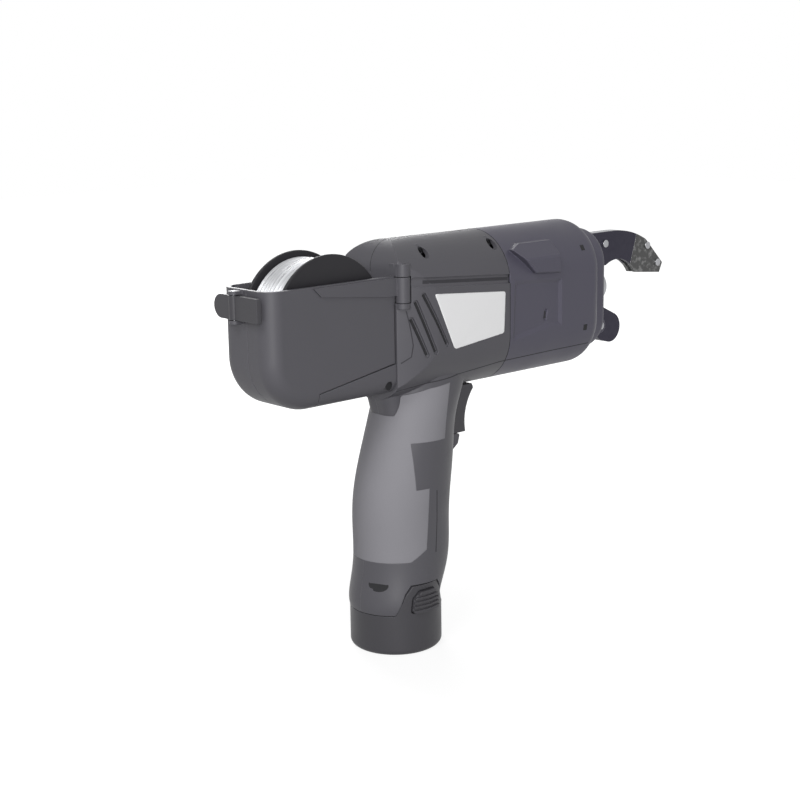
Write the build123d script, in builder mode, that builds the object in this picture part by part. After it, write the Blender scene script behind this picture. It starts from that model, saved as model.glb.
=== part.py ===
from build123d import *
import os
from math import atan2, cos, degrees, hypot, pi, sin, sqrt

# Cordless tying gun that loops steel wire round crossing bars and twists it tight.
# Millimetres. X runs forward to the jaw, Y to the left, Z up from the battery's foot.

# Clearances
SHUT_GAP = 0.4          # shut line between two pieces that part or move
RUN_FIT = 0.05          # radial clearance of a pin or shaft that turns
SEAT_GAP = 0.1          # radial clearance of a piece held in a rib
SLIDE_GAP = 0.35        # clearance of a piece that slides

# Battery
CELL_RADIUS = 9.2
CELL_LENGTH = 65.0
CELL_GAP = 0.3
CELL_COUNT = 3
STEM_WALL = 1.0
STEM_OFFSET = 2.5       # stem axis ahead of the battery's foot
STEM_HEADROOM = 2.0     # above the cells
COLLAR_WALL = 4.1
BATTERY_HEIGHT = 22.7   # foot to the shut line under the grip
BATTERY_FLOOR = 3.0
BATTERY_FOOT_ROUND = 3.0
BOARD_THICKNESS = 1.6
EAR_FOOT_WIDTH = 34.0   # raised side of the battery that carries a latch button
EAR_TOP_WIDTH = 17.0
EAR_SHOULDER_WIDTH = 24.0
EAR_HEIGHT = 16.0
EAR_SHOULDER = 11.5
EAR_THICKNESS = 3.2
BUTTON_WIDTH = 19.0
BUTTON_SHOULDER_WIDTH = 17.0
BUTTON_TOP_WIDTH = 9.4
BUTTON_HEIGHT = 12.0
BUTTON_SHOULDER = 8.0   # from the button's foot up to where its sides slope in
BUTTON_PROUD = 2.0
BUTTON_TRAVEL = 1.8
BUTTON_RIBS = 4
BUTTON_RISE = 1.3
BUTTON_ROUND = 1.5
TERMINAL_HEIGHT = 6.0
TERMINAL_WIDTH = 6.0
TERMINAL_THICKNESS = 1.0
TERMINAL_PITCH = 9.0
TERMINAL_COUNT = 3
CONTACT_BLOCK_HEIGHT = 9.0

# Grip
GRIP_LENGTH = 116.9     # battery shut line to the underside of the barrel
GRIP_WALL = 2.4
RUBBER = 1.2
WEB_WIDTH = 22.0
WEB_ROUND = 7.0
WEB_TAIL = -9.9         # where the web's rounded back meets the grip
WEB_FRONT = 10.0
WEB_DROP = 9.0          # under the barrel
WEB_TOP = 12.0          # inside the barrel
WEB_HEEL = 5.0          # top of the rounded back
WEB_BELLY = (2.4, -2.5)  # middle of the rounded back, from the barrel's rear lower edge
SLEEVE_FOOT = 29.0      # lower edge of the rubber over the battery shut line
PATCH_LOW = 68.5        # bare patch at the finger side
PATCH_HIGH = 93.6
# share of the grip's length, centre forward of the foot, half depth and half width over the battery radius
GRIP_STATIONS = [
    (0.00, 0.0, 0.1, 0.1),
    (0.18, 3.4, 1.5, -0.3),
    (0.33, 4.9, 2.7, -0.7),
    (0.50, 5.4, 3.1, -0.9),
    (0.64, 8.0, 2.7, -1.3),
    (0.76, 10.8, 1.2, -1.9),
    (0.90, 14.6, -0.4, -2.5),
    (1.10, 19.5, 0.3, -2.5),
]

# Barrel and nose
BODY_WIDTH = 56.0
BODY_HEIGHT = 84.8
WALL = 2.4
BARREL_LENGTH = 77.0
BARREL_REAR = -14.0
BARREL_BACK_ROUND = 15.0
FLARE_LENGTH = 30.0
FLARE_TAIL = 1.0        # run of the flare past the barrel's rear, before it is cut off
FLARE_CREASE = 0.5      # height at which the flare and the back round cross the plain section
NOSE_LENGTH = 78.0
NOSE_WALL = 3.0
NOSE_ROUND = 9.0
RING_DEPTH = 13.0
RING_WIDTH = 40.0
RING_HEIGHT = 72.0
RING_ROUND = 5.0
PAD_PROUD = 3.2
PAD_ROOT = 16.0         # where the pads start inside the nose, from the middle plane
PAD_BEVEL = 0.8
# outlines on the nose flank: forward of the nose seam, rise over the twisting axis
PAD_OUTLINE = [(11.0, 34.6), (37.0, 34.6), (38.0, 16.8), (18.0, 18.3), (4.0, 31.9)]
PANEL_OUTLINE = [(3.5, 15.2), (42.0, 12.9), (42.2, -14.0), (31.0, -13.7), (2.0, -18.4)]
OVAL_FORWARD = 29.5
OVAL_DROP = 6.7
OVAL_HEIGHT = 7.0
OVAL_WIDTH = 3.0
PANEL_DEPTH = 1.2
PANEL_SLOPE = 62.0      # lean of the panel's walls, in degrees
PAD_TOP_FALL = 8.0      # height of the slope along the top of each pad
# two ends of each line cut into the flanks: place along the barrel, rise over the twisting axis
GROOVES = [
    ((-5.0, 21.6), (70.0, 16.4)),
]
GROOVE_WIDTH = 5.0
GROOVE_DEPTH = 1.2
VENTS = [
    ((-6.8, 2.2), (1.7, -17.6)),
    ((-4.4, 11.0), (6.8, -16.4)),
    ((0.0, 14.6), (14.8, -13.2)),
]
VENT_WIDTH = 2.6
VENT_DEPTH = 1.4
SCREW_RADIUS = 1.4
SCREW_HEAD = 2.5
SCREW_HEAD_HEIGHT = 2.0
SCREW_SEAT = 13.0       # head's seat right of the middle plane
BOSS_RADIUS = 4.2
SCREW_DROP = 7.0        # barrel screws under the barrel's top
SCREW_REAR = 21.5       # rear barrel screw ahead of the barrel's rear
SCREW_INSET = 4.6       # front barrel screw behind the nose
CABLE_HOLE = 6.0
CABLE_RISE = 14.0
POST_RADIUS = 3.0

# Reel box and its door
BOX_WIDTH = 39.4
BOX_LENGTH = 82.7
BOX_WALL = 2.2
BOX_RIM = 25.4          # rim above the twisting axis
BOX_DEPTH = 62.3
BOX_HEEL_ROUND = 27.0   # lower rear corner seen from the side
BOX_SIDE_ROUND = 9.0    # edge that runs down the rear and along the floor
DOOR_SPLIT = -2.5       # shut line on the rear wall, right of the middle plane
DOOR_HEEL = 31.0        # length of the door that takes half the floor with it
DOOR_FRONT = 1.2        # door's front edge behind the barrel
STRAP_LENGTH = 54.0
STRAP_HEIGHT = 9.5
STRAP_THICKNESS = 1.0
HINGE_RADIUS = 4.1
HINGE_HEIGHT = 23.5
HINGE_FOOT = 8.1        # foot of the hinge post above the twisting axis
HINGE_BEHIND = 4.2      # hinge axis ahead of the barrel's rear
HINGE_PROUD = 0.8       # hinge axis outside the box wall
PIN_RADIUS = 1.5
KNUCKLE_FOOT = 2.9
KNUCKLE_HEIGHT = 14.0
DOOR_SILL_REAR = 7.8    # lower shut line of the door over the box's underside
DOOR_SILL_FRONT = 16.4
LATCH_HEIGHT = 12.0
LATCH_DROP = 14.7       # latch foot below the rim
LATCH_STAND = 3.4       # latch pin behind the rear wall
LATCH_Y = 3.0
LATCH_HUB = 2.6
LATCH_PIN = 1.0
LATCH_LUG = 1.8
LATCH_PLATE = 2.4
LATCH_TAB = 15.0
LATCH_LIP = 3.0
KEEPER_PROUD = 0.9
KEEPER_WIDTH = 4.0
KEEPER_INSET = 8.0      # keeper's middle from the door's side

# Wire reel
REEL_RADIUS = 35.0
REEL_WIDTH = 28.5
FLANGE_THICKNESS = 2.0
HUB_RADIUS = 13.0
SPINDLE_RADIUS = 8.0
THRUST_RADIUS = 12.0
REEL_BEHIND = 39.2      # reel axis behind the barrel's rear
REEL_ABOVE = 4.8        # reel axis above the twisting axis
THRUST_GAP = 0.3
WIRE_RADIUS = 0.4
WIRE_TURNS = 18
WIRE_LEVEL = 31.9       # outer radius of the wound wire
GAP_SAMPLES = 24        # points a turn at which a coil's gap is measured

# Drive
MOTOR_RADIUS = 14.0
MOTOR_LENGTH = 46.0
MOTOR_REAR = 42.0
MOTOR_WALL = 1.2
MOTOR_CAP = 2.5
ROTOR_RADIUS = 7.2
GEARBOX_RADIUS = 17.0
GEARBOX_LENGTH = 28.0
GEARBOX_WALL = 3.0
CARRIER_RADIUS = 9.0    # planet carrier inside the gearbox
SHAFT_RADIUS = 5.0
SHAFT_BORE = 2.5
BEARING_RADIUS = 11.0
BEARING_WIDTH = 7.0
HOOK_RADIUS = 9.3
HOOK_REACH = 17.5       # hook's front ahead of the ring
HOOK_NECK = 7.5
HOOK_SHOULDER = 3.0
HOOK_TAPER = 5.5
HOOK_TIP = 4.0
HOOK_SOCKET = 8.0       # depth of the shaft in the hook
HOOK_SLOT = 3.2
HOOK_SLOT_DEPTH = 11.0
SHAFT_SEAT = 4.0        # depth of a shaft in its gearbox or motor
RIB = 2.5
BOARD_RISE = 10.0       # control board over the barrel's underside
BOARD_LENGTH = 32.0
BOARD_WIDTH = 26.0
CAPACITOR_RADIUS = 4.0
CAPACITOR_HEIGHT = 9.0
CHIP_SIZE = 9.0

# Wire feed
WIRE_LINE = 21.6        # wire path above the twisting axis
GUIDE_RADIUS = 2.0
GUIDE_BORE = 0.8
FEED_X = 20.0
ROLLER_RADIUS = 8.0
ROLLER_WIDTH = 6.0
ROLLER_NIP = 0.9
GEAR_MODULE = 1.0
PINION_TEETH = 12
IDLER_TEETH = 22
FEED_TEETH = 16
IDLER_FORWARD = 4.1
GEAR_FACE = 4.5
FRAME_Y = 4.0
FRAME_THICKNESS = 3.0
FRAME_MARGIN = 4.0
FEED_MOTOR_RADIUS = 10.0
FEED_MOTOR_LENGTH = 20.0
AXLE_RADIUS = 2.0

# Jaw
ARM_THICKNESS = 7.0
CURL_THICKNESS = 3.0
CURL_GROOVE = 1.6
ARM_ABOVE = 10.6        # underside of the arm's tail above the twisting axis
ARM_TOP = 31.9
ARM_TAIL = 5.2          # tail inside the ring
ARM_BACK = 25.1         # end of the arm's straight back ahead of the ring
# places on the arm's outline: forward of the ring, rise over the twisting axis
ARM_BROW = (42.5, 29.6)
ARM_NECK = (55.9, 24.2)
ARM_NOSE = (72.3, 8.4)
ARM_TIP = (69.5, 2.4)
ARM_MOUTH_FRONT = (45.8, 4.7)
ARM_MOUTH_ROOF = (33.0, 13.9)
ARM_MOUTH_REAR = (18.0, 11.7)
TIP_SPLIT_FORWARD = 37.6
TIP_SPLIT_LEAN = 0.32
RIVETS = [(16.9, 24.8), (57.0, 20.4), (67.3, 8.9)]
RIVET_RADIUS = 1.6
RIVET_HEAD = 2.2
RIVET_PROUD = 0.8
GUIDE_WIDTH = 12.0
GUIDE_CHANNEL = 7.0     # width of the channel that leads the wire along the lower guide
GUIDE_CHANNEL_REAR = 3.4
GUIDE_CHANNEL_FRONT = 18.5
GUIDE_CHANNEL_DROP = 7.5
# outline of the lower guide from its pin, and the middle of its round end
GUIDE_OUTLINE = [
    (10.67, -11.6),
    (3.7, -9.6),
    (-2.3, -5.0),
    (-3.3, 1.0),
    (-1.3, 12.3),
    (1.2, 12.6),
    (16.8, 5.26),
]
GUIDE_END = (22.0, -2.9)
GUIDE_PIVOT_FORWARD = 6.8
GUIDE_PIVOT_DROP = 23.4
LUG_THICKNESS = 3.0
LUG_RADIUS = 4.4
RING_SCREW_SPREAD = 14.0
RING_SCREW_RISE = 24.3
RING_SCREW_SEAT = 8.0

# Trigger and switches
TRIGGER_WIDTH = 15.0
TRIGGER_HEIGHT = 26.6
TRIGGER_FRONT = 49.0
TRIGGER_BACK = 32.0
TRIGGER_TRAVEL = 5.0
TRIGGER_HORN = 5.8      # upper end ahead of the lower one
TRIGGER_BROW = 3.6
LIP_WIDTH = 15.0
SWITCH_LENGTH = 18.0
SWITCH_WIDTH = 16.0
SWITCH_HEIGHT = 16.0
SPRING_RADIUS = 3.2
SPRING_WIRE = 0.45
SPRING_TURNS = 5
SLIDER_LENGTH = 18.0
SLIDER_WIDTH = 7.0
SLIDER_TRAVEL = 6.0
SLIDER_X = 42.0
SLIDER_Y = 5.6
SLIDER_SINK = 3.4       # floor of its recess below the barrel's top
SLIDER_THICKNESS = 1.2
SLIDER_RIB = 0.6
SLIDER_RIB_PITCH = 3.0

# Levels and stations worked out from the sizes above
seam = BATTERY_HEIGHT + SHUT_GAP
cell_ring = (CELL_RADIUS + CELL_GAP / 2) * 2 / sqrt(3)
stem_inner = cell_ring + CELL_RADIUS + CELL_GAP
stem_radius = stem_inner + STEM_WALL
battery_radius = stem_radius + COLLAR_WALL
button_foot = BATTERY_HEIGHT + BUTTON_RISE
cell_bottom = BATTERY_FLOOR + BOARD_THICKNESS
cell_top = cell_bottom + CELL_LENGTH
stem_top = cell_top + STEM_HEADROOM + STEM_WALL
body_bottom = seam + GRIP_LENGTH
axis_height = body_bottom + BODY_HEIGHT / 2
body_top = body_bottom + BODY_HEIGHT
nose_seam = BARREL_REAR + BARREL_LENGTH
nose_front = nose_seam + NOSE_LENGTH
ring_front = nose_front + RING_DEPTH
box_front = BARREL_REAR
box_rear = box_front - BOX_LENGTH
box_rim = axis_height + BOX_RIM
box_floor = box_rim - BOX_DEPTH
reel_x = BARREL_REAR - REEL_BEHIND
reel_z = axis_height + REEL_ABOVE
hinge_x = BARREL_REAR + HINGE_BEHIND
hinge_y = -BOX_WIDTH / 2 - HINGE_PROUD
hinge_z = axis_height + HINGE_FOOT
knuckle_z = hinge_z + KNUCKLE_FOOT
strap_top = knuckle_z + KNUCKLE_HEIGHT - SHUT_GAP
motor_front = MOTOR_REAR + MOTOR_LENGTH
gearbox_front = motor_front + GEARBOX_LENGTH
hook_rear = nose_front + BEARING_WIDTH + SHUT_GAP
hook_front = ring_front + HOOK_REACH
hook_length = hook_front - hook_rear
wire_z = axis_height + WIRE_LINE

latch_x = box_rear - LATCH_STAND
latch_y = LATCH_Y
latch_z = box_rim - LATCH_DROP
keeper_y = -BOX_WIDTH / 2 + KEEPER_INSET
hook_end = keeper_y - KEEPER_WIDTH / 2 - SHUT_GAP - LATCH_LIP
keeper_sweep = hypot(box_rear - KEEPER_PROUD - hinge_x, keeper_y + KEEPER_WIDTH / 2 - hinge_y)
lip_front = hinge_x - keeper_sweep - SHUT_GAP
box_screw_place = (box_front - 5, box_floor + 5)
motor_rib = MOTOR_REAR + 4
gearbox_rib = motor_front + GEARBOX_LENGTH / 2
board_z = body_bottom + BOARD_RISE
board_rear = nose_seam + 4
board_posts = [board_rear + 5, board_rear + BOARD_LENGTH - 5]
guide_x = ring_front + GUIDE_PIVOT_FORWARD
guide_z = axis_height - GUIDE_PIVOT_DROP
ring_screw_places = [
    (y, axis_height + rise)
    for y in (-RING_SCREW_SPREAD, RING_SCREW_SPREAD)
    for rise in (-RING_SCREW_RISE, RING_SCREW_RISE)
]
trigger_top = body_bottom - SHUT_GAP
trigger_foot = trigger_top - TRIGGER_HEIGHT
switch_front = TRIGGER_BACK - 2 * TRIGGER_TRAVEL
switch_z = trigger_foot + TRIGGER_HEIGHT / 2
screw_places = [
    (BARREL_REAR + SCREW_REAR, body_top - SCREW_DROP),
    (nose_seam - SCREW_INSET, body_top - SCREW_DROP),
]
roller_z = wire_z - ROLLER_NIP / 2 - ROLLER_RADIUS
pinch_z = wire_z + ROLLER_NIP / 2 + ROLLER_RADIUS
idler_x = FEED_X + IDLER_FORWARD
idler_z = roller_z - sqrt(((IDLER_TEETH + FEED_TEETH) * GEAR_MODULE / 2) ** 2 - IDLER_FORWARD ** 2)
pinion_z = idler_z - sqrt(((IDLER_TEETH + PINION_TEETH) * GEAR_MODULE / 2) ** 2 - IDLER_FORWARD ** 2)
gear_y = FRAME_Y + FRAME_THICKNESS + 1.0
guide_rear = FEED_X + ROLLER_RADIUS + 2.0
frame_posts = [(FEED_X - 10.5, idler_z - 5), (idler_x + 10.9, idler_z + 13)]

os.makedirs("parts", exist_ok=True)


def save(builder, name):
    builder.part.label = name
    export_step(builder.part, f"parts/{name}.step")


# Forms shared by several pieces

def stadium(inset):
    with Locations((0, axis_height)):
        SlotOverall(BODY_HEIGHT - 2 * inset, BODY_WIDTH - 2 * inset, rotation=90)


def barrel_form(inset, rear, front):
    """Stadium section, drawn in at the rear to the reel box and rounded down behind the top."""
    half = BODY_WIDTH / 2 - inset
    tail_half = BOX_WIDTH / 2 - inset
    top = body_top - inset
    back_round = BARREL_BACK_ROUND - inset
    tail = BARREL_REAR - FLARE_TAIL
    flare_end = BARREL_REAR + FLARE_LENGTH
    low = body_bottom - BODY_WIDTH
    high = body_top + BODY_WIDTH
    with BuildPart() as form:
        with BuildSketch(Plane.YZ.offset(rear)):
            stadium(inset)
        extrude(amount=front - rear)
        with BuildSketch(Plane.XY.offset(low)):
            with BuildLine():
                Line((tail, 0), (tail, tail_half))
                TangentArc((flare_end, half + FLARE_CREASE), (tail, tail_half), tangent=(-1, 0))
                Polyline((flare_end, half + FLARE_CREASE), (front + 1, half + BODY_WIDTH), (front + 1, 0))
                mirror(about=Plane.XZ)
            make_face()
        extrude(amount=high - low, mode=Mode.INTERSECT)
        with BuildSketch(Plane.XZ):
            with BuildLine():
                Polyline((rear + back_round, high), (front + 1, high), (front + 1, low), (rear, low))
                Line((rear, low), (rear, top - back_round))
                ThreePointArc(
                    (rear, top - back_round),
                    (rear + 0.27 * back_round, top - 0.29 * back_round),
                    (rear + back_round, top + FLARE_CREASE),
                )
                Line((rear + back_round, top + FLARE_CREASE), (rear + back_round, high))
            make_face()
        extrude(amount=BODY_WIDTH, both=True, mode=Mode.INTERSECT)
    return form.part


def grip_form(inset):
    with BuildPart() as form:
        for share, centre, depth_over, width_over in GRIP_STATIONS:
            with BuildSketch(Plane.XY.offset(seam + share * GRIP_LENGTH)):
                with Locations((centre, 0)):
                    Ellipse(battery_radius + depth_over - inset, battery_radius + width_over - inset)
        loft()
    return form.part


def half_turn(start, start_way, end, end_way):
    """Two arcs that leave start along start_way and reach end along end_way."""
    reach = end - start
    ways = start_way + end_way
    spread = 2 * (1 - start_way.dot(end_way))
    along = reach.dot(ways)
    arm = (sqrt(along ** 2 + spread * reach.dot(reach)) - along) / spread
    first = start + start_way * arm
    last = end - end_way * arm
    middle = (first + last) * 0.5
    TangentArc(start, middle, tangent=start_way)
    TangentArc(middle, end, tangent=last - first)


def coil(name, origin, side, ahead, along, radius, pitch, turns, wire):
    """One unbroken wire of hexagonal section wound round the along direction, with straight ends."""
    def place(turn):
        angle = 2 * pi * turn
        return origin + (side * cos(angle) + ahead * sin(angle)) * radius + along * (pitch * turn)

    def way(turn):
        angle = 2 * pi * turn
        flow = (ahead * cos(angle) - side * sin(angle)) * (2 * pi * radius) + along * pitch
        return flow.normalized()

    lead = 2 * wire
    with BuildPart() as form:
        with BuildLine() as path:
            Line(place(0) - way(0) * lead, place(0))
            for step in range(2 * turns):
                half_turn(place(step / 2), way(step / 2), place((step + 1) / 2), way((step + 1) / 2))
            Line(place(turns), place(turns) + way(turns) * lead)
        with BuildSketch(Plane(place(0) - way(0) * lead, x_dir=along, z_dir=way(0))):
            RegularPolygon(wire, 6)
        sweep(path=path.line)
    samples = GAP_SAMPLES * turns
    middle_line = path.wire()
    points = [middle_line.position_at(step / samples) for step in range(samples + 1)]
    half = GAP_SAMPLES // 2
    nearest = min((later - point).length for i, point in enumerate(points) for later in points[i + half:])
    print(f"{name}: least gap to itself {nearest - 2 * wire:.2f} mm")
    return form.part


def gear_profile(teeth, start_angle):
    pitch_radius = teeth * GEAR_MODULE / 2
    tip = pitch_radius + 0.85 * GEAR_MODULE
    root = pitch_radius - 1.15 * GEAR_MODULE
    Circle(root)
    with PolarLocations(0, teeth, start_angle=start_angle):
        Polygon(
            (root - 0.4 * GEAR_MODULE, -0.95 * GEAR_MODULE),
            (tip, -0.33 * GEAR_MODULE),
            (tip, 0.33 * GEAR_MODULE),
            (root - 0.4 * GEAR_MODULE, 0.95 * GEAR_MODULE),
            align=None,
        )


def guide_point(place):
    return (guide_x + place[0], guide_z + place[1])


def shouldered(foot, shoulder, top):
    """Outline that narrows at its shoulders, from three pairs of half width and height."""
    Polygon(
        (-foot[0], foot[1]),
        (-shoulder[0], shoulder[1]),
        (-top[0], top[1]),
        top,
        shoulder,
        foot,
        align=None,
    )


def ear_outline(growth):
    """Raised side of the battery seen along Y, and with growth the notch that takes it."""
    shouldered(
        (EAR_FOOT_WIDTH / 2 + growth, seam - SHUT_GAP),
        (EAR_SHOULDER_WIDTH / 2 + growth, seam + EAR_SHOULDER + growth),
        (EAR_TOP_WIDTH / 2 + growth, seam + EAR_HEIGHT + growth),
    )


def button_outline(growth):
    """Latch button seen along Y, and with growth its hole in the battery's ear."""
    shouldered(
        (BUTTON_WIDTH / 2 + growth, button_foot - growth),
        (BUTTON_SHOULDER_WIDTH / 2 + growth, button_foot + BUTTON_SHOULDER + growth),
        (BUTTON_TOP_WIDTH / 2 + growth, button_foot + BUTTON_HEIGHT + growth),
    )
    fillet(vertices(), BUTTON_ROUND)


barrel_outer = barrel_form(0, BARREL_REAR, nose_seam)
grip_outer = grip_form(0)

# Rubber sleeve moulded round the back and sides of the grip
with BuildPart() as sleeve_region:
    with BuildSketch(Plane.XZ):
        with BuildLine():
            Polyline(
                (-60, seam + SLEEVE_FOOT),
                (-8, seam + SLEEVE_FOOT),
                (1.4, seam + SLEEVE_FOOT + 6),
                (4.3, seam + PATCH_LOW),
                (-3.8, seam + PATCH_LOW),
                (-3.8, seam + PATCH_HIGH),
                (17.4, seam + PATCH_HIGH),
                (21.5, body_bottom + 7.0),
                (8.3, body_bottom + 5.2),
                (-3, body_bottom + 2.0),
                (-8, body_bottom - 3.5),
                (-12, body_bottom - 9.5),
                (-60, body_bottom - 9.5),
                close=True,
            )
        make_face()
    extrude(amount=BODY_WIDTH, both=True)

with BuildPart() as grip_sleeve:
    add(grip_outer)
    add(grip_form(RUBBER), mode=Mode.SUBTRACT)
    add(sleeve_region.part, mode=Mode.INTERSECT)
    add(barrel_outer, mode=Mode.SUBTRACT)
save(grip_sleeve, "grip_sleeve")

# Hollow of the grip above the battery's stem
with BuildPart() as grip_hollow:
    add(grip_form(RUBBER + GRIP_WALL))
    with BuildSketch(Plane.XY.offset(stem_top + SLIDE_GAP)):
        Rectangle(4 * battery_radius, 4 * battery_radius)
    extrude(amount=body_bottom + 2 * WALL - stem_top, mode=Mode.INTERSECT)


def flank_cutter(lines, width, depth):
    """Slots on both flanks of the barrel, each only as deep as asked under the skin."""
    with BuildPart() as form:
        with BuildSketch(Plane.XZ):
            for (first_x, first_rise), (last_x, last_rise) in lines:
                middle = ((first_x + last_x) / 2, axis_height + (first_rise + last_rise) / 2)
                SlotCenterPoint(middle, (last_x, axis_height + last_rise), width)
        extrude(amount=BODY_WIDTH, both=True)
        add(barrel_form(depth, BARREL_REAR - BOX_LENGTH, nose_front), mode=Mode.SUBTRACT)
    return form.part


# Web between the reel box and the back of the grip, rounded behind
with BuildPart() as grip_web:
    with BuildSketch(Plane.XZ):
        with BuildLine():
            Polyline(
                (WEB_TAIL, body_bottom - WEB_DROP),
                (WEB_FRONT, body_bottom - WEB_DROP),
                (WEB_FRONT, body_bottom + WEB_TOP),
                (BARREL_REAR, body_bottom + WEB_TOP),
                (BARREL_REAR, body_bottom + WEB_HEEL),
            )
            ThreePointArc(
                (BARREL_REAR, body_bottom + WEB_HEEL),
                (BARREL_REAR + WEB_BELLY[0], body_bottom + WEB_BELLY[1]),
                (WEB_TAIL, body_bottom - WEB_DROP),
            )
        make_face()
    extrude(amount=WEB_WIDTH / 2, both=True)
    fillet(edges().filter_by(GeomType.CIRCLE), WEB_ROUND)

# Hollow clamshell of barrel and grip, before it is parted along the middle plane
with BuildPart() as housing_form:
    add(barrel_outer)
    add(grip_outer)
    add(grip_web.part)
    # finger lip under the trigger
    with BuildSketch(Plane.XZ):
        with BuildLine():
            Polyline(
                (26, trigger_foot - SHUT_GAP),
                (43.6, trigger_foot - SHUT_GAP),
                (42.0, trigger_foot - 6.0),
                (30, trigger_foot - 15.0),
                (26, trigger_foot - 15.0),
                close=True,
            )
        make_face()
        fillet(vertices().sort_by(Axis.X)[-2:], 1.2)
    extrude(amount=LIP_WIDTH / 2, both=True)
    add(grip_sleeve.part, mode=Mode.SUBTRACT)
    add(barrel_form(WALL, BARREL_REAR + WALL, nose_seam), mode=Mode.SUBTRACT)
    add(grip_hollow.part, mode=Mode.SUBTRACT)
    # bore for the battery's stem
    with BuildSketch(Plane.XY.offset(seam)):
        with Locations((STEM_OFFSET, 0)):
            Circle(stem_radius + SLIDE_GAP)
    extrude(amount=stem_top + SLIDE_GAP - seam, mode=Mode.SUBTRACT)
    # notches for the battery's ears
    with BuildSketch(Plane.XZ):
        ear_outline(SHUT_GAP)
    extrude(amount=2 * battery_radius, both=True, mode=Mode.SUBTRACT)
    # trigger slot
    with BuildSketch(Plane.YZ.offset(TRIGGER_BACK - TRIGGER_TRAVEL - 1)):
        with Locations((0, trigger_foot - SHUT_GAP)):
            Rectangle(
                TRIGGER_WIDTH + 2 * SLIDE_GAP, TRIGGER_HEIGHT + 2 * SHUT_GAP, align=(Align.CENTER, Align.MIN)
            )
    extrude(amount=40, mode=Mode.SUBTRACT)
    # inlet for the wire through the rear wall
    with BuildSketch(Plane.YZ.offset(BARREL_REAR)):
        with Locations((0, wire_z)):
            Circle(GUIDE_RADIUS)
    extrude(amount=WALL, mode=Mode.SUBTRACT)
    # blind vents beside the hinge and the shallow line along both flanks
    add(flank_cutter(VENTS, VENT_WIDTH, VENT_DEPTH), mode=Mode.SUBTRACT)
    add(flank_cutter(GROOVES, GROOVE_WIDTH, GROOVE_DEPTH), mode=Mode.SUBTRACT)
    # motor rib across the hollow
    with BuildSketch(Plane.YZ.offset(motor_rib)):
        stadium(WALL / 2)
        with Locations((0, axis_height)):
            Circle(MOTOR_RADIUS + SEAT_GAP, mode=Mode.SUBTRACT)
        with Locations((0, wire_z)):
            Circle(GUIDE_RADIUS + SEAT_GAP, mode=Mode.SUBTRACT)
        with Locations((0, body_bottom + CABLE_RISE)):
            Circle(CABLE_HOLE, mode=Mode.SUBTRACT)
    extrude(amount=RIB)
    # screw bosses that join the two halves
    with BuildSketch(Plane.XZ):
        with Locations(*screw_places):
            Circle(BOSS_RADIUS)
    extrude(amount=SCREW_SEAT, both=True)
    with BuildSketch(Plane.XZ):
        with Locations(*screw_places):
            Circle(SCREW_RADIUS + SEAT_GAP)
    extrude(amount=SCREW_SEAT + 1, both=True, mode=Mode.SUBTRACT)
    with BuildSketch(Plane.XZ.offset(SCREW_SEAT)):
        with Locations(*screw_places):
            Circle(SCREW_HEAD + SHUT_GAP)
    extrude(amount=BODY_WIDTH, mode=Mode.SUBTRACT)

with BuildPart() as right_housing:
    add(housing_form.part)
    split(bisect_by=Plane.XZ, keep=Keep.TOP)
    # hinge seat for the reel door
    with Locations((hinge_x, hinge_y + HINGE_RADIUS, hinge_z)):
        Box(2 * HINGE_RADIUS, HINGE_RADIUS, HINGE_HEIGHT, align=(Align.CENTER, Align.CENTER, Align.MIN))
    with Locations((hinge_x, hinge_y, hinge_z)):
        Cylinder(HINGE_RADIUS, HINGE_HEIGHT, align=(Align.CENTER, Align.CENTER, Align.MIN))
    with Locations((hinge_x, hinge_y, knuckle_z)):
        Cylinder(
            HINGE_RADIUS + SHUT_GAP,
            KNUCKLE_HEIGHT,
            align=(Align.CENTER, Align.CENTER, Align.MIN),
            mode=Mode.SUBTRACT,
        )
    with Locations((hinge_x, hinge_y, hinge_z)):
        Cylinder(
            PIN_RADIUS + RUN_FIT,
            HINGE_HEIGHT,
            align=(Align.CENTER, Align.CENTER, Align.MIN),
            mode=Mode.SUBTRACT,
        )
save(right_housing, "right_housing")

with BuildPart() as left_housing:
    add(housing_form.part)
    split(bisect_by=Plane.XZ, keep=Keep.BOTTOM)
    # posts that carry the feed frame and the trigger switch
    with BuildSketch(Plane.XZ.offset(-FRAME_Y - FRAME_THICKNESS)):
        with Locations(*frame_posts):
            Circle(POST_RADIUS)
    extrude(amount=-(BODY_WIDTH / 2 - WALL / 2 - FRAME_Y - FRAME_THICKNESS))
    with BuildSketch(Plane.XZ.offset(-SWITCH_WIDTH / 2)):
        with Locations((switch_front - SWITCH_LENGTH / 2, switch_z)):
            Circle(POST_RADIUS)
    extrude(amount=-(battery_radius + GRIP_STATIONS[-2][3] - RUBBER - GRIP_WALL / 2 - SWITCH_WIDTH / 2))
    # recess for the power slider on top, with a thicker floor below it
    with Locations((SLIDER_X, SLIDER_Y, body_top - SLIDER_SINK)):
        Box(
            SLIDER_LENGTH + SLIDER_TRAVEL + 4 * SLIDE_GAP,
            SLIDER_WIDTH + WALL,
            2 * WALL,
            align=(Align.CENTER, Align.CENTER, Align.MAX),
        )
    with Locations((SLIDER_X, SLIDER_Y, body_top - SLIDER_SINK)):
        Box(
            SLIDER_LENGTH + SLIDER_TRAVEL + 2 * SLIDE_GAP,
            SLIDER_WIDTH + 2 * SLIDE_GAP,
            2 * SLIDER_SINK,
            align=(Align.CENTER, Align.CENTER, Align.MIN),
            mode=Mode.SUBTRACT,
        )
save(left_housing, "left_housing")

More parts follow.
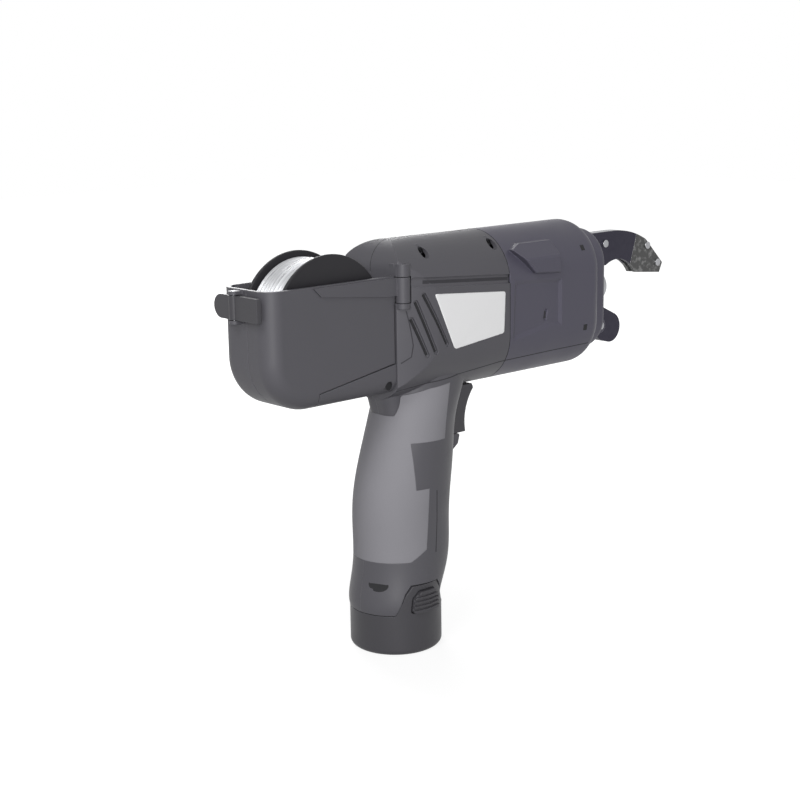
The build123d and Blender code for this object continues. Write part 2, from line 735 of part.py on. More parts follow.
with BuildPart() as housing_screws:
    with BuildSketch(Plane.XZ.offset(-SCREW_SEAT)):
        with Locations(*screw_places):
            Circle(SCREW_RADIUS)
    extrude(amount=2 * SCREW_SEAT)
    with BuildSketch(Plane.XZ.offset(SCREW_SEAT)):
        with Locations(*screw_places):
            Circle(SCREW_HEAD)
            RegularPolygon(SCREW_HEAD / 2, 6, mode=Mode.SUBTRACT)
    extrude(amount=SCREW_HEAD_HEIGHT)
    with BuildSketch(Plane.XZ.offset(SCREW_SEAT)):
        with Locations(*screw_places):
            Circle(SCREW_HEAD)
    extrude(amount=SCREW_HEAD_HEIGHT / 2)
save(housing_screws, "housing_screws")

# Nose cover: one cap over the motor's front and the gearbox
with BuildPart() as nose_hollow:
    with BuildSketch(Plane.YZ.offset(nose_seam)):
        stadium(WALL)
    extrude(amount=NOSE_LENGTH - NOSE_WALL)
    fillet(edges().group_by(Axis.X)[-1], NOSE_ROUND - WALL)

with BuildPart() as nose_cover:
    with BuildSketch(Plane.YZ.offset(nose_seam)):
        stadium(0)
    extrude(amount=NOSE_LENGTH)
    fillet(edges().group_by(Axis.X)[-1], NOSE_ROUND)
    # raised pad high on each side
    for side in (-1, 1):
        with BuildSketch(Plane.XZ.offset(-side * PAD_ROOT)):
            with Locations((nose_seam, axis_height)):
                Polygon(*PAD_OUTLINE, align=None)
        extrude(amount=-side * (BODY_WIDTH / 2 + PAD_PROUD - PAD_ROOT))
        # slope along the pad's top
        pad_face = side * (BODY_WIDTH / 2 + PAD_PROUD)
        with BuildSketch(Plane.YZ.offset(nose_seam)):
            with Locations((pad_face, axis_height + PAD_OUTLINE[0][1])):
                Polygon(
                    (0, -PAD_TOP_FALL),
                    (side, -PAD_TOP_FALL),
                    (side, PAD_BEVEL),
                    (-side * (PAD_TOP_FALL + PAD_BEVEL), PAD_BEVEL),
                    align=None,
                )
        extrude(amount=NOSE_LENGTH, mode=Mode.SUBTRACT)
        outer = faces().filter_by(Axis.Y).sort_by(Axis.Y)[0 if side < 0 else -1]
        chamfer(outer.edges(), PAD_BEVEL)
    # sunk panel with sloping walls, and a small oval pocket in it, on each side
    for side in (-1, 1):
        with BuildSketch(Plane.XZ.offset(-side * BODY_WIDTH / 2)):
            with Locations((nose_seam, axis_height)):
                Polygon(*PANEL_OUTLINE, align=None)
        extrude(amount=side * PANEL_DEPTH, taper=PANEL_SLOPE, mode=Mode.SUBTRACT)
        with BuildSketch(Plane.XZ.offset(-side * (BODY_WIDTH / 2 - 1.6 * PANEL_DEPTH))):
            with Locations((nose_seam + OVAL_FORWARD, axis_height - OVAL_DROP)):
                SlotOverall(OVAL_HEIGHT, OVAL_WIDTH, rotation=80)
        extrude(amount=-side * BODY_WIDTH / 2, mode=Mode.SUBTRACT)
    add(nose_hollow.part, mode=Mode.SUBTRACT)
    # rib that holds the gearbox
    with BuildSketch(Plane.YZ.offset(gearbox_rib)):
        stadium(WALL / 2)
        with Locations((0, axis_height)):
            Circle(GEARBOX_RADIUS + SEAT_GAP, mode=Mode.SUBTRACT)
        with Locations((0, wire_z)):
            Circle(GUIDE_RADIUS + SEAT_GAP, mode=Mode.SUBTRACT)
        with Locations((0, body_bottom + CABLE_RISE)):
            Circle(CABLE_HOLE, mode=Mode.SUBTRACT)
    extrude(amount=RIB)
    # posts under the control board
    with BuildSketch(Plane.XY.offset(body_bottom + WALL / 2)):
        with Locations(*[(x, 0) for x in board_posts]):
            Circle(POST_RADIUS)
    extrude(amount=board_z - body_bottom - WALL / 2)
    # front openings for the shaft, the wire guide and the ring's screws
    with BuildSketch(Plane.YZ.offset(nose_front - NOSE_WALL)):
        with Locations((0, axis_height)):
            Circle(SHAFT_RADIUS + 4 * SHUT_GAP)
        with Locations((0, wire_z)):
            Circle(GUIDE_RADIUS + SEAT_GAP)
        with Locations(*ring_screw_places):
            Circle(SCREW_RADIUS + SEAT_GAP)
    extrude(amount=NOSE_WALL, mode=Mode.SUBTRACT)
save(nose_cover, "nose_cover")

# Ring that closes the nose and carries the jaw
with BuildPart() as nose_ring:
    with BuildSketch(Plane.YZ.offset(nose_front)):
        with Locations((0, axis_height)):
            SlotOverall(RING_HEIGHT, RING_WIDTH, rotation=90)
    extrude(amount=RING_DEPTH)
    fillet(edges().group_by(Axis.X)[-1], RING_ROUND)
    # ears for the lower guide's pin
    for side in (-1, 1):
        with BuildSketch(Plane.XZ.offset(side * (GUIDE_WIDTH / 2 + SHUT_GAP))):
            with Locations((guide_x, guide_z)):
                Circle(LUG_RADIUS)
                Polygon(
                    (-GUIDE_PIVOT_FORWARD - 1, LUG_RADIUS + 2),
                    (0, LUG_RADIUS),
                    (0, -LUG_RADIUS),
                    (-GUIDE_PIVOT_FORWARD - 1, -LUG_RADIUS - 2),
                    align=None,
                )
        extrude(amount=side * LUG_THICKNESS)
    with BuildSketch(Plane.XZ):
        with Locations((guide_x, guide_z)):
            Circle(PIN_RADIUS + RUN_FIT)
    extrude(amount=RING_WIDTH, both=True, mode=Mode.SUBTRACT)
    # seat of the shaft bearing behind, room for the hook in front
    with BuildSketch(Plane.YZ.offset(nose_front)):
        with Locations((0, axis_height)):
            Circle(BEARING_RADIUS + SEAT_GAP)
    extrude(amount=BEARING_WIDTH, mode=Mode.SUBTRACT)
    with BuildSketch(Plane.YZ.offset(nose_front)):
        with Locations((0, axis_height)):
            Circle(HOOK_RADIUS + 2 * SHUT_GAP)
        with Locations((0, wire_z)):
            Circle(GUIDE_RADIUS + SEAT_GAP)
        with Locations(*ring_screw_places):
            Circle(SCREW_RADIUS + SEAT_GAP)
    extrude(amount=RING_DEPTH, mode=Mode.SUBTRACT)
    with BuildSketch(Plane.YZ.offset(nose_front + RING_SCREW_SEAT)):
        with Locations(*ring_screw_places):
            Circle(SCREW_HEAD + SHUT_GAP)
    extrude(amount=RING_DEPTH, mode=Mode.SUBTRACT)
    # slot for the tail of the jaw arm
    with BuildSketch(Plane.YZ.offset(ring_front - ARM_TAIL - SEAT_GAP)):
        with Locations((0, axis_height + (ARM_ABOVE + ARM_TOP) / 2)):
            Rectangle(ARM_THICKNESS + 2 * SEAT_GAP, ARM_TOP - ARM_ABOVE + 2 * SEAT_GAP)
    extrude(amount=RING_DEPTH, mode=Mode.SUBTRACT)
save(nose_ring, "nose_ring")

with BuildPart() as ring_screws:
    with BuildSketch(Plane.YZ.offset(nose_front - NOSE_WALL)):
        with Locations(*ring_screw_places):
            Circle(SCREW_RADIUS)
    extrude(amount=NOSE_WALL + RING_SCREW_SEAT)
    with BuildSketch(Plane.YZ.offset(nose_front + RING_SCREW_SEAT)):
        with Locations(*ring_screw_places):
            Circle(SCREW_HEAD)
    extrude(amount=SCREW_HEAD_HEIGHT / 2)
    with BuildSketch(Plane.YZ.offset(nose_front + RING_SCREW_SEAT + SCREW_HEAD_HEIGHT / 2)):
        with Locations(*ring_screw_places):
            Circle(SCREW_HEAD)
            RegularPolygon(SCREW_HEAD / 2, 6, mode=Mode.SUBTRACT)
    extrude(amount=SCREW_HEAD_HEIGHT / 2)
save(ring_screws, "ring_screws")


# Reel box and the door that forms its right side
def box_form(inset):
    """Tub with a round heel, open at the rim and in front, its outer edges rounded."""
    with BuildPart() as form:
        with BuildSketch(Plane.XZ):
            with Locations((box_front, box_rim)):
                Rectangle(BOX_LENGTH - inset, BOX_DEPTH - inset, align=(Align.MAX, Align.MAX))
            fillet(vertices().group_by(Axis.Y)[0].sort_by(Axis.X)[0], BOX_HEEL_ROUND - inset)
        extrude(amount=BOX_WIDTH / 2 - inset, both=True)
        round_edges = [
            edge
            for side_face in faces().filter_by(Axis.Y)
            for edge in side_face.edges()
            if edge.center().Z < box_rim - inset and edge.center().X < box_front - inset
        ]
        fillet(round_edges, BOX_SIDE_ROUND - inset)
    return form.part


def door_region(gap):
    """Room taken by the door: its rear heel with half the floor, and the side wall ahead of that."""
    heel_end = box_rear + DOOR_HEEL - gap
    front = BARREL_REAR - DOOR_FRONT if gap else BARREL_REAR + DOOR_FRONT
    outside = BOX_WIDTH
    with BuildPart() as region:
        with Locations((heel_end, DOOR_SPLIT - gap, box_floor - BOX_WALL)):
            Box(
                BOX_LENGTH,
                outside,
                2 * BOX_DEPTH,
                align=(Align.MAX, Align.MAX, Align.MIN),
            )
        with BuildSketch(Plane.XZ.offset(BOX_WIDTH / 2 - BOX_SIDE_ROUND)):
            Polygon(
                (heel_end - DOOR_HEEL / 2, box_floor + DOOR_SILL_REAR + gap),
                (heel_end, box_floor + DOOR_SILL_REAR + gap),
                (front, box_floor + DOOR_SILL_FRONT + gap),
                (front, box_rim + BOX_WALL),
                (heel_end - DOOR_HEEL / 2, box_rim + BOX_WALL),
                align=None,
            )
        extrude(amount=outside)
    return region.part


with BuildPart() as box_shell:
    add(box_form(0))
    add(box_form(BOX_WALL), mode=Mode.SUBTRACT)

with BuildPart() as reel_box:
    add(box_shell.part)
    add(door_region(0), mode=Mode.SUBTRACT)
    # lugs for the latch pin on the rear wall
    for low in (latch_z - SHUT_GAP - LATCH_LUG, latch_z + LATCH_HEIGHT + SHUT_GAP):
        with BuildSketch(Plane.XY.offset(low)):
            with Locations((latch_x, latch_y)):
                Circle(LATCH_HUB)
                Rectangle(box_rear + BOX_WALL / 2 - latch_x, 2 * LATCH_HUB, align=(Align.MIN, Align.CENTER))
                Circle(LATCH_PIN + RUN_FIT, mode=Mode.SUBTRACT)
        extrude(amount=LATCH_LUG)
    # seat of the screw that ties the box to the housing
    with BuildSketch(Plane.XZ.offset(BOX_WIDTH / 2 - BOX_WALL)):
        with Locations(box_screw_place):
            Circle(SCREW_HEAD)
    extrude(amount=2 * BOX_WALL, mode=Mode.SUBTRACT)
save(reel_box, "reel_box")

with BuildPart() as reel_door:
    add(box_shell.part)
    add(door_region(SHUT_GAP), mode=Mode.INTERSECT)
    # thrust boss that keeps the reel on its spindle
    with BuildSketch(Plane.XZ.offset(REEL_WIDTH / 2 + THRUST_GAP)):
        with Locations((reel_x, reel_z)):
            Circle(THRUST_RADIUS)
            Circle(SPINDLE_RADIUS + 1, mode=Mode.SUBTRACT)
    extrude(amount=BOX_WIDTH / 2 - BOX_WALL / 2 - REEL_WIDTH / 2 - THRUST_GAP)
    # keeper under the latch hook
    with Locations((box_rear + BOX_WALL / 2, keeper_y, latch_z + LATCH_HEIGHT / 2)):
        Box(
            KEEPER_PROUD + BOX_WALL / 2,
            KEEPER_WIDTH,
            LATCH_HEIGHT - 2,
            align=(Align.MAX, Align.CENTER, Align.CENTER),
        )
save(reel_door, "reel_door")

# Hinge strap along the door's rim, with the knuckle that turns on the pin
with BuildPart() as hinge_strap:
    with BuildSketch(Plane.XZ.offset(BOX_WIDTH / 2)):
        with Locations((hinge_x, strap_top)):
            Polygon(
                (-STRAP_LENGTH - STRAP_HEIGHT / 2, 0),
                (-STRAP_LENGTH, -STRAP_HEIGHT / 2),
                (-STRAP_HEIGHT, -STRAP_HEIGHT),
                (0, -STRAP_HEIGHT),
                (0, 0),
                align=None,
            )
    extrude(amount=STRAP_THICKNESS)
    with Locations((hinge_x, hinge_y, knuckle_z + SHUT_GAP)):
        Cylinder(
            HINGE_RADIUS, KNUCKLE_HEIGHT - 2 * SHUT_GAP, align=(Align.CENTER, Align.CENTER, Align.MIN)
        )
    with Locations((hinge_x, hinge_y, hinge_z)):
        Cylinder(
            PIN_RADIUS + RUN_FIT,
            HINGE_HEIGHT,
            align=(Align.CENTER, Align.CENTER, Align.MIN),
            mode=Mode.SUBTRACT,
        )
save(hinge_strap, "hinge_strap")

with BuildPart() as hinge_pin:
    with Locations((hinge_x, hinge_y, hinge_z)):
        Cylinder(PIN_RADIUS, HINGE_HEIGHT, align=(Align.CENTER, Align.CENTER, Align.MIN))
save(hinge_pin, "hinge_pin")

# Rocker latch on the rear wall: round thumb tab on the left, hook over the door's keeper on the right
with BuildPart() as door_latch:
    with BuildSketch(Plane.XY.offset(latch_z)):
        with Locations((latch_x, latch_y)):
            Circle(LATCH_HUB)
            Rectangle(LATCH_PLATE, latch_y - hook_end, align=(Align.CENTER, Align.MAX))
        with Locations((latch_x - LATCH_PLATE / 2, hook_end)):
            Rectangle(lip_front - latch_x + LATCH_PLATE / 2, LATCH_LIP, align=(Align.MIN, Align.MIN))
    extrude(amount=LATCH_HEIGHT)
    with BuildSketch(Plane.YZ.offset(latch_x - LATCH_PLATE / 2)):
        with Locations((latch_y, latch_z + LATCH_HEIGHT / 2)):
            SlotCenterPoint((0, 0), (LATCH_TAB - LATCH_HEIGHT / 2, 0), LATCH_HEIGHT)
            Rectangle(LATCH_TAB, 2 * LATCH_HEIGHT, align=(Align.MAX, Align.CENTER), mode=Mode.SUBTRACT)
    extrude(amount=LATCH_PLATE)
    with Locations((latch_x, latch_y, latch_z)):
        Cylinder(
            LATCH_PIN + RUN_FIT,
            LATCH_HEIGHT,
            align=(Align.CENTER, Align.CENTER, Align.MIN),
            mode=Mode.SUBTRACT,
        )
save(door_latch, "door_latch")

with BuildPart() as latch_pin:
    with Locations((latch_x, latch_y, latch_z - SHUT_GAP - LATCH_LUG)):
        Cylinder(
            LATCH_PIN,
            LATCH_HEIGHT + 2 * SHUT_GAP + 2 * LATCH_LUG,
            align=(Align.CENTER, Align.CENTER, Align.MIN),
        )
save(latch_pin, "latch_pin")

with BuildPart() as box_screw:
    with BuildSketch(Plane.XZ.offset(BOX_WIDTH / 2 - BOX_WALL)):
        with Locations(box_screw_place):
            Circle(SCREW_HEAD - SEAT_GAP)
    extrude(amount=BOX_WALL / 2)
save(box_screw, "box_screw")

# Spindle, reel and its wire
with BuildPart() as reel_spindle:
    with BuildSketch(Plane.XZ.offset(-BOX_WIDTH / 2 + BOX_WALL)):
        with Locations((reel_x, reel_z)):
            Circle(THRUST_RADIUS)
    extrude(amount=BOX_WIDTH / 2 - BOX_WALL - REEL_WIDTH / 2 - THRUST_GAP)
    with BuildSketch(Plane.XZ.offset(-REEL_WIDTH / 2 - THRUST_GAP)):
        with Locations((reel_x, reel_z)):
            Circle(SPINDLE_RADIUS)
    extrude(amount=REEL_WIDTH + THRUST_GAP)
    chamfer(edges().group_by(Axis.Y)[0], 1)
save(reel_spindle, "reel_spindle")

with BuildPart() as wire_reel:
    with BuildSketch(Plane.XZ):
        with Locations((reel_x, reel_z)):
            Circle(HUB_RADIUS)
    extrude(amount=REEL_WIDTH / 2, both=True)
    for side in (-1, 1):
        with BuildSketch(Plane.XZ.offset(side * REEL_WIDTH / 2)):
            with Locations((reel_x, reel_z)):
                Circle(REEL_RADIUS)
        extrude(amount=-side * FLANGE_THICKNESS)
    fillet(edges().filter_by(lambda edge: abs(edge.length - 2 * pi * REEL_RADIUS) < 0.1), 0.6)
    with BuildSketch(Plane.XZ):
        with Locations((reel_x, reel_z)):
            Circle(SPINDLE_RADIUS + RUN_FIT)
    extrude(amount=REEL_WIDTH, both=True, mode=Mode.SUBTRACT)
save(wire_reel, "wire_reel")

wire_room = REEL_WIDTH - 2 * FLANGE_THICKNESS
core_radius = WIRE_LEVEL - 2 * WIRE_RADIUS - SEAT_GAP
with BuildPart() as wire_core:
    with BuildSketch(Plane.XZ):
        with Locations((reel_x, reel_z)):
            Circle(core_radius)
            Circle(HUB_RADIUS + SEAT_GAP, mode=Mode.SUBTRACT)
    extrude(amount=wire_room / 2 - SEAT_GAP, both=True)
save(wire_core, "wire_core")

winding_radius = WIRE_LEVEL - WIRE_RADIUS
winding_pitch = (wire_room - 4 * WIRE_RADIUS) / WIRE_TURNS
with BuildPart() as wire_winding:
    add(
        coil(
            "wire winding",
            Vector(reel_x, -WIRE_TURNS * winding_pitch / 2, reel_z),
            Vector(1, 0, 0),
            Vector(0, 0, 1),
            Vector(0, 1, 0),
            winding_radius,
            winding_pitch,
            WIRE_TURNS,
            WIRE_RADIUS,
        )
    )
save(wire_winding, "wire_winding")

# Twisting drive: motor, gearbox, shaft in its bearing, and the hook that grips the wire
with BuildPart() as twist_motor:
    with BuildSketch(Plane.YZ.offset(MOTOR_REAR)):
        with Locations((0, axis_height)):
            Circle(MOTOR_RADIUS)
    extrude(amount=MOTOR_LENGTH)
    chamfer(edges().group_by(Axis.X)[0], 1)
    # room between the can and the rotor, open through two holes in the rear cap
    can_inner = MOTOR_RADIUS - MOTOR_WALL
    with BuildSketch(Plane.YZ.offset(MOTOR_REAR + MOTOR_CAP)):
        with Locations((0, axis_height)):
            Circle(can_inner)
            Circle(ROTOR_RADIUS, mode=Mode.SUBTRACT)
    extrude(amount=MOTOR_LENGTH - 2 * MOTOR_CAP, mode=Mode.SUBTRACT)
    with BuildSketch(Plane.YZ.offset(MOTOR_REAR)):
        with Locations((0, axis_height)):
            with PolarLocations((can_inner + ROTOR_RADIUS) / 2, 2):
                Circle((can_inner - ROTOR_RADIUS) / 2 - SHUT_GAP)
    extrude(amount=MOTOR_CAP, mode=Mode.SUBTRACT)
    # brush cap behind the can
    with BuildSketch(Plane.YZ.offset(MOTOR_REAR)):
        with Locations((0, axis_height)):
            Circle(ROTOR_RADIUS - SHUT_GAP)
    extrude(amount=-FRAME_THICKNESS / 2)
save(twist_motor, "twist_motor")

with BuildPart() as gearbox:
    with BuildSketch(Plane.YZ.offset(motor_front)):
        with Locations((0, axis_height)):
            Circle(GEARBOX_RADIUS)
    extrude(amount=GEARBOX_LENGTH)
    chamfer(edges().group_by(Axis.X)[-1], 2)
    # room for the planet gears, closed by the motor's front
    with BuildSketch(Plane.YZ.offset(motor_front)):
        with Locations((0, axis_height)):
            Circle(GEARBOX_RADIUS - GEARBOX_WALL)
            Circle(CARRIER_RADIUS, mode=Mode.SUBTRACT)
    extrude(amount=GEARBOX_LENGTH - GEARBOX_WALL, mode=Mode.SUBTRACT)
    with BuildSketch(Plane.YZ.offset(gearbox_front)):
        with Locations((0, axis_height)):
            Circle(SHAFT_RADIUS + RUN_FIT)
    extrude(amount=-SHAFT_SEAT - SHUT_GAP, mode=Mode.SUBTRACT)
save(gearbox, "gearbox")

with BuildPart() as shaft_bearing:
    with BuildSketch(Plane.YZ.offset(nose_front)):
        with Locations((0, axis_height)):
            Circle(BEARING_RADIUS)
            Circle(SHAFT_RADIUS + RUN_FIT, mode=Mode.SUBTRACT)
    extrude(amount=BEARING_WIDTH)
save(shaft_bearing, "shaft_bearing")

with BuildPart() as twist_shaft:
    with BuildSketch(Plane.YZ.offset(gearbox_front - SHAFT_SEAT)):
        with Locations((0, axis_height)):
            Circle(SHAFT_RADIUS)
            Circle(SHAFT_BORE, mode=Mode.SUBTRACT)
    extrude(amount=hook_rear + HOOK_SOCKET - gearbox_front + SHAFT_SEAT)
save(twist_shaft, "twist_shaft")

with BuildPart() as twist_hook:
    with BuildSketch(Plane.XZ):
        with Locations((hook_rear, axis_height)):
            Polygon(
                (0, 0),
                (0, HOOK_NECK),
                (HOOK_SHOULDER, HOOK_RADIUS),
                (hook_length - HOOK_TAPER, HOOK_RADIUS),
                (hook_length, HOOK_TIP),
                (hook_length, 0),
                align=None,
            )
    revolve(axis=Axis((0, 0, axis_height), (1, 0, 0)))
    with BuildSketch(Plane.YZ.offset(hook_rear)):
        with Locations((0, axis_height)):
            Circle(SHAFT_RADIUS + SEAT_GAP)
    extrude(amount=HOOK_SOCKET + SEAT_GAP, mode=Mode.SUBTRACT)
    # slot that catches both runs of the wire
    with Locations((hook_front, 0, axis_height)):
        Box(
            2 * HOOK_SLOT_DEPTH,
            HOOK_SLOT,
            4 * HOOK_RADIUS,
            mode=Mode.SUBTRACT,
        )
save(twist_hook, "twist_hook")

# Wire feed: motor, gear train and two rollers on one plate
pinion_lean = degrees(atan2(idler_z - pinion_z, IDLER_FORWARD))
feed_lean = degrees(atan2(roller_z - idler_z, -IDLER_FORWARD))
idler_phase = pinion_lean + 180 + 180 / IDLER_TEETH
idler_slip = (idler_phase - feed_lean) % (360 / IDLER_TEETH)
feed_phase = feed_lean + 180 - idler_slip * IDLER_TEETH / FEED_TEETH + 180 / FEED_TEETH


def spur_gear(teeth, phase, x, z, bore):
    with BuildPart() as form:
        with BuildSketch(Plane.XZ.offset(-gear_y)):
            with Locations((x, z)):
                gear_profile(teeth, phase)
                Circle(bore, mode=Mode.SUBTRACT)
        extrude(amount=-GEAR_FACE)
    return form.part


def cross_rod(radius, x, z, right, left):
    """Round bar along Y between two places."""
    with BuildPart() as form:
        with BuildSketch(Plane.XZ.offset(-right)):
            with Locations((x, z)):
                Circle(radius)
        extrude(amount=right - left)
    return form.part


gear_left = gear_y + GEAR_FACE
frame_left = FRAME_Y + FRAME_THICKNESS
frame_rear = frame_posts[0][0] - POST_RADIUS - 1
frame_front = frame_posts[1][0] + POST_RADIUS + 1

with BuildPart() as feed_frame:
    with BuildSketch(Plane.XZ.offset(-FRAME_Y)):
        Polygon(
            (frame_rear, pinion_z - FEED_MOTOR_RADIUS),
            (frame_front, pinion_z - FEED_MOTOR_RADIUS),
            (frame_front, roller_z + ROLLER_RADIUS),
            (frame_rear, roller_z + ROLLER_RADIUS),
            align=None,
        )
        with Locations((FEED_X, roller_z)):
            Rectangle(
                4 * AXLE_RADIUS + FRAME_MARGIN,
                pinch_z - roller_z + AXLE_RADIUS + FRAME_MARGIN,
                align=(Align.CENTER, Align.MIN),
            )
        with Locations((FEED_X, pinion_z), (FEED_X, roller_z), (FEED_X, pinch_z)):
            Circle(AXLE_RADIUS + RUN_FIT, mode=Mode.SUBTRACT)
    extrude(amount=-FRAME_THICKNESS)
    # stud that carries the idler
    add(cross_rod(AXLE_RADIUS, idler_x, idler_z, FRAME_Y, gear_left))
save(feed_frame, "feed_frame")

with BuildPart() as feed_motor:
    add(cross_rod(FEED_MOTOR_RADIUS, FEED_X, pinion_z, FRAME_Y - FEED_MOTOR_LENGTH, FRAME_Y))
    chamfer(edges().group_by(Axis.Y)[0], 1)
    add(
        cross_rod(AXLE_RADIUS + RUN_FIT, FEED_X, pinion_z, FRAME_Y - SHAFT_SEAT - SHUT_GAP, FRAME_Y),
        mode=Mode.SUBTRACT,
    )
save(feed_motor, "feed_motor")

with BuildPart() as feed_pinion:
    add(spur_gear(PINION_TEETH, pinion_lean, FEED_X, pinion_z, AXLE_RADIUS / 2))
    add(cross_rod(AXLE_RADIUS, FEED_X, pinion_z, FRAME_Y - SHAFT_SEAT, gear_left))
save(feed_pinion, "feed_pinion")

with BuildPart() as idler_gear:
    add(spur_gear(IDLER_TEETH, idler_phase, idler_x, idler_z, AXLE_RADIUS + RUN_FIT))
save(idler_gear, "idler_gear")

with BuildPart() as feed_gear:
    add(spur_gear(FEED_TEETH, feed_phase, FEED_X, roller_z, AXLE_RADIUS + SEAT_GAP))
save(feed_gear, "feed_gear")

for name, level, left in (("feed_roller", roller_z, gear_left), ("pinch_roller", pinch_z, frame_left)):
    with BuildPart() as roller:
        add(cross_rod(ROLLER_RADIUS, FEED_X, level, -ROLLER_WIDTH / 2, ROLLER_WIDTH / 2))
        chamfer(edges(), 0.4)
        add(cross_rod(AXLE_RADIUS, FEED_X, level, -ROLLER_WIDTH / 2, left))
    save(roller, name)

# Tube that leads the wire from the rollers to the jaw
with BuildPart() as wire_guide:
    with BuildSketch(Plane.YZ.offset(guide_rear)):
        with Locations((0, wire_z)):
            Circle(GUIDE_RADIUS)
            Circle(GUIDE_BORE, mode=Mode.SUBTRACT)
    extrude(amount=ring_front - ARM_TAIL - 2 * SEAT_GAP - guide_rear)
save(wire_guide, "wire_guide")

# Electronics
with BuildPart() as control_board:
    with Locations((board_rear, 0, board_z)):
        Box(BOARD_LENGTH, BOARD_WIDTH, BOARD_THICKNESS, align=(Align.MIN, Align.CENTER, Align.MIN))
    with Locations((board_posts[0], 0, board_z + BOARD_THICKNESS)):
        Cylinder(CAPACITOR_RADIUS, CAPACITOR_HEIGHT, align=(Align.CENTER, Align.CENTER, Align.MIN))
    with Locations((board_posts[1], 0, board_z + BOARD_THICKNESS)):
        Box(CHIP_SIZE, CHIP_SIZE, BOARD_THICKNESS, align=(Align.CENTER, Align.CENTER, Align.MIN))
save(control_board, "control_board")

with BuildPart() as trigger_switch:
    with Locations((switch_front, 0, switch_z)):
        Box(SWITCH_LENGTH, SWITCH_WIDTH, SWITCH_HEIGHT, align=(Align.MAX, Align.CENTER, Align.CENTER))
save(trigger_switch, "trigger_switch")

terminal_places = [
    (STEM_OFFSET, TERMINAL_PITCH * (index - (TERMINAL_COUNT - 1) / 2)) for index in range(TERMINAL_COUNT)
]
with BuildPart() as contact_block:
    add(grip_form(RUBBER + GRIP_WALL + SEAT_GAP))
    with BuildSketch(Plane.XY.offset(stem_top + SLIDE_GAP + SEAT_GAP)):
        Rectangle(4 * battery_radius, 4 * battery_radius)
    extrude(amount=CONTACT_BLOCK_HEIGHT, mode=Mode.INTERSECT)
    with BuildSketch(Plane.XY.offset(stem_top)):
        with Locations(*terminal_places):
            Rectangle(TERMINAL_WIDTH + 2 * SLIDE_GAP, TERMINAL_THICKNESS + 2 * SLIDE_GAP)
    extrude(amount=TERMINAL_HEIGHT + SLIDE_GAP, mode=Mode.SUBTRACT)
save(contact_block, "contact_block")

# Trigger, its return spring and the power slider
with BuildPart() as trigger:
    with BuildSketch(Plane.XZ):
        with BuildLine():
            Polyline(
                (TRIGGER_FRONT, trigger_foot),
                (TRIGGER_BACK, trigger_foot),
                (TRIGGER_BACK, trigger_top),
                (TRIGGER_FRONT + 0.7 * TRIGGER_HORN, trigger_top),
                (TRIGGER_FRONT + TRIGGER_HORN, trigger_top - TRIGGER_BROW),
            )
            ThreePointArc(
                (TRIGGER_FRONT + TRIGGER_HORN, trigger_top - TRIGGER_BROW),
                (TRIGGER_FRONT - 0.4, trigger_foot + 0.3 * TRIGGER_HEIGHT),
                (TRIGGER_FRONT, trigger_foot),
            )
        make_face()
    extrude(amount=TRIGGER_WIDTH / 2, both=True)
    fillet(edges().filter_by(GeomType.CIRCLE), 2)
save(trigger, "trigger")

spring_length = TRIGGER_BACK - switch_front - 4 * SPRING_WIRE
with BuildPart() as trigger_spring:
    add(
        coil(
            "trigger spring",
            Vector(switch_front + 2 * SPRING_WIRE, 0, switch_z),
            Vector(0, 1, 0),
            Vector(0, 0, 1),
            Vector(1, 0, 0),
            SPRING_RADIUS,
            spring_length / SPRING_TURNS,
            SPRING_TURNS,
            SPRING_WIRE,
        )
    )
save(trigger_spring, "trigger_spring")

with BuildPart() as power_slide:
    slider_x = SLIDER_X - SLIDER_TRAVEL / 2
    slider_z = body_top - SLIDER_SINK + SLIDE_GAP
    with Locations((slider_x, SLIDER_Y, slider_z)):
        Box(
            SLIDER_LENGTH,
            SLIDER_WIDTH,
            SLIDER_THICKNESS,
            align=(Align.CENTER, Align.CENTER, Align.MIN),
        )
    fillet(edges().filter_by(Axis.Z), 1)
    for step in (-1, 0, 1):
        with Locations((slider_x + SLIDER_RIB_PITCH * step, SLIDER_Y, slider_z)):
            Box(
                SLIDER_RIB_PITCH / 2,
                SLIDER_WIDTH - 1,
                SLIDER_THICKNESS + SLIDER_RIB,
                align=(Align.CENTER, Align.CENTER, Align.MIN),
            )
save(power_slide, "power_slide")

# Battery: foot, stem, cells, board, terminals and two latch buttons
button_z = button_foot + BUTTON_HEIGHT / 2
button_inner = stem_radius + BUTTON_TRAVEL + SLIDE_GAP

with BuildPart() as battery_ears:
    with BuildSketch(Plane.XY.offset(BATTERY_HEIGHT)):
        Circle(battery_radius)
        Circle(battery_radius - EAR_THICKNESS, mode=Mode.SUBTRACT)
    extrude(amount=2 * EAR_HEIGHT)
    with BuildSketch(Plane.XZ):
        ear_outline(0)
    extrude(amount=2 * battery_radius, both=True, mode=Mode.INTERSECT)
    with BuildSketch(Plane.XZ):
        button_outline(SLIDE_GAP)
    extrude(amount=2 * battery_radius, both=True, mode=Mode.SUBTRACT)
    with BuildSketch(Plane.XY.offset(BATTERY_HEIGHT)):
        with Locations((STEM_OFFSET, 0)):
            Circle(stem_radius + SEAT_GAP)
    extrude(amount=2 * EAR_HEIGHT, mode=Mode.SUBTRACT)

with BuildPart() as battery_base:
    with BuildSketch(Plane.XY):
        Circle(battery_radius)
    extrude(amount=BATTERY_HEIGHT)
    fillet(edges().group_by(Axis.Z)[0], BATTERY_FOOT_ROUND)
    with BuildSketch(Plane.XY.offset(BATTERY_FLOOR)):
        with Locations((STEM_OFFSET, 0)):
            Circle(stem_inner)
    extrude(amount=BATTERY_HEIGHT, mode=Mode.SUBTRACT)
    add(battery_ears.part)
save(battery_base, "battery_base")

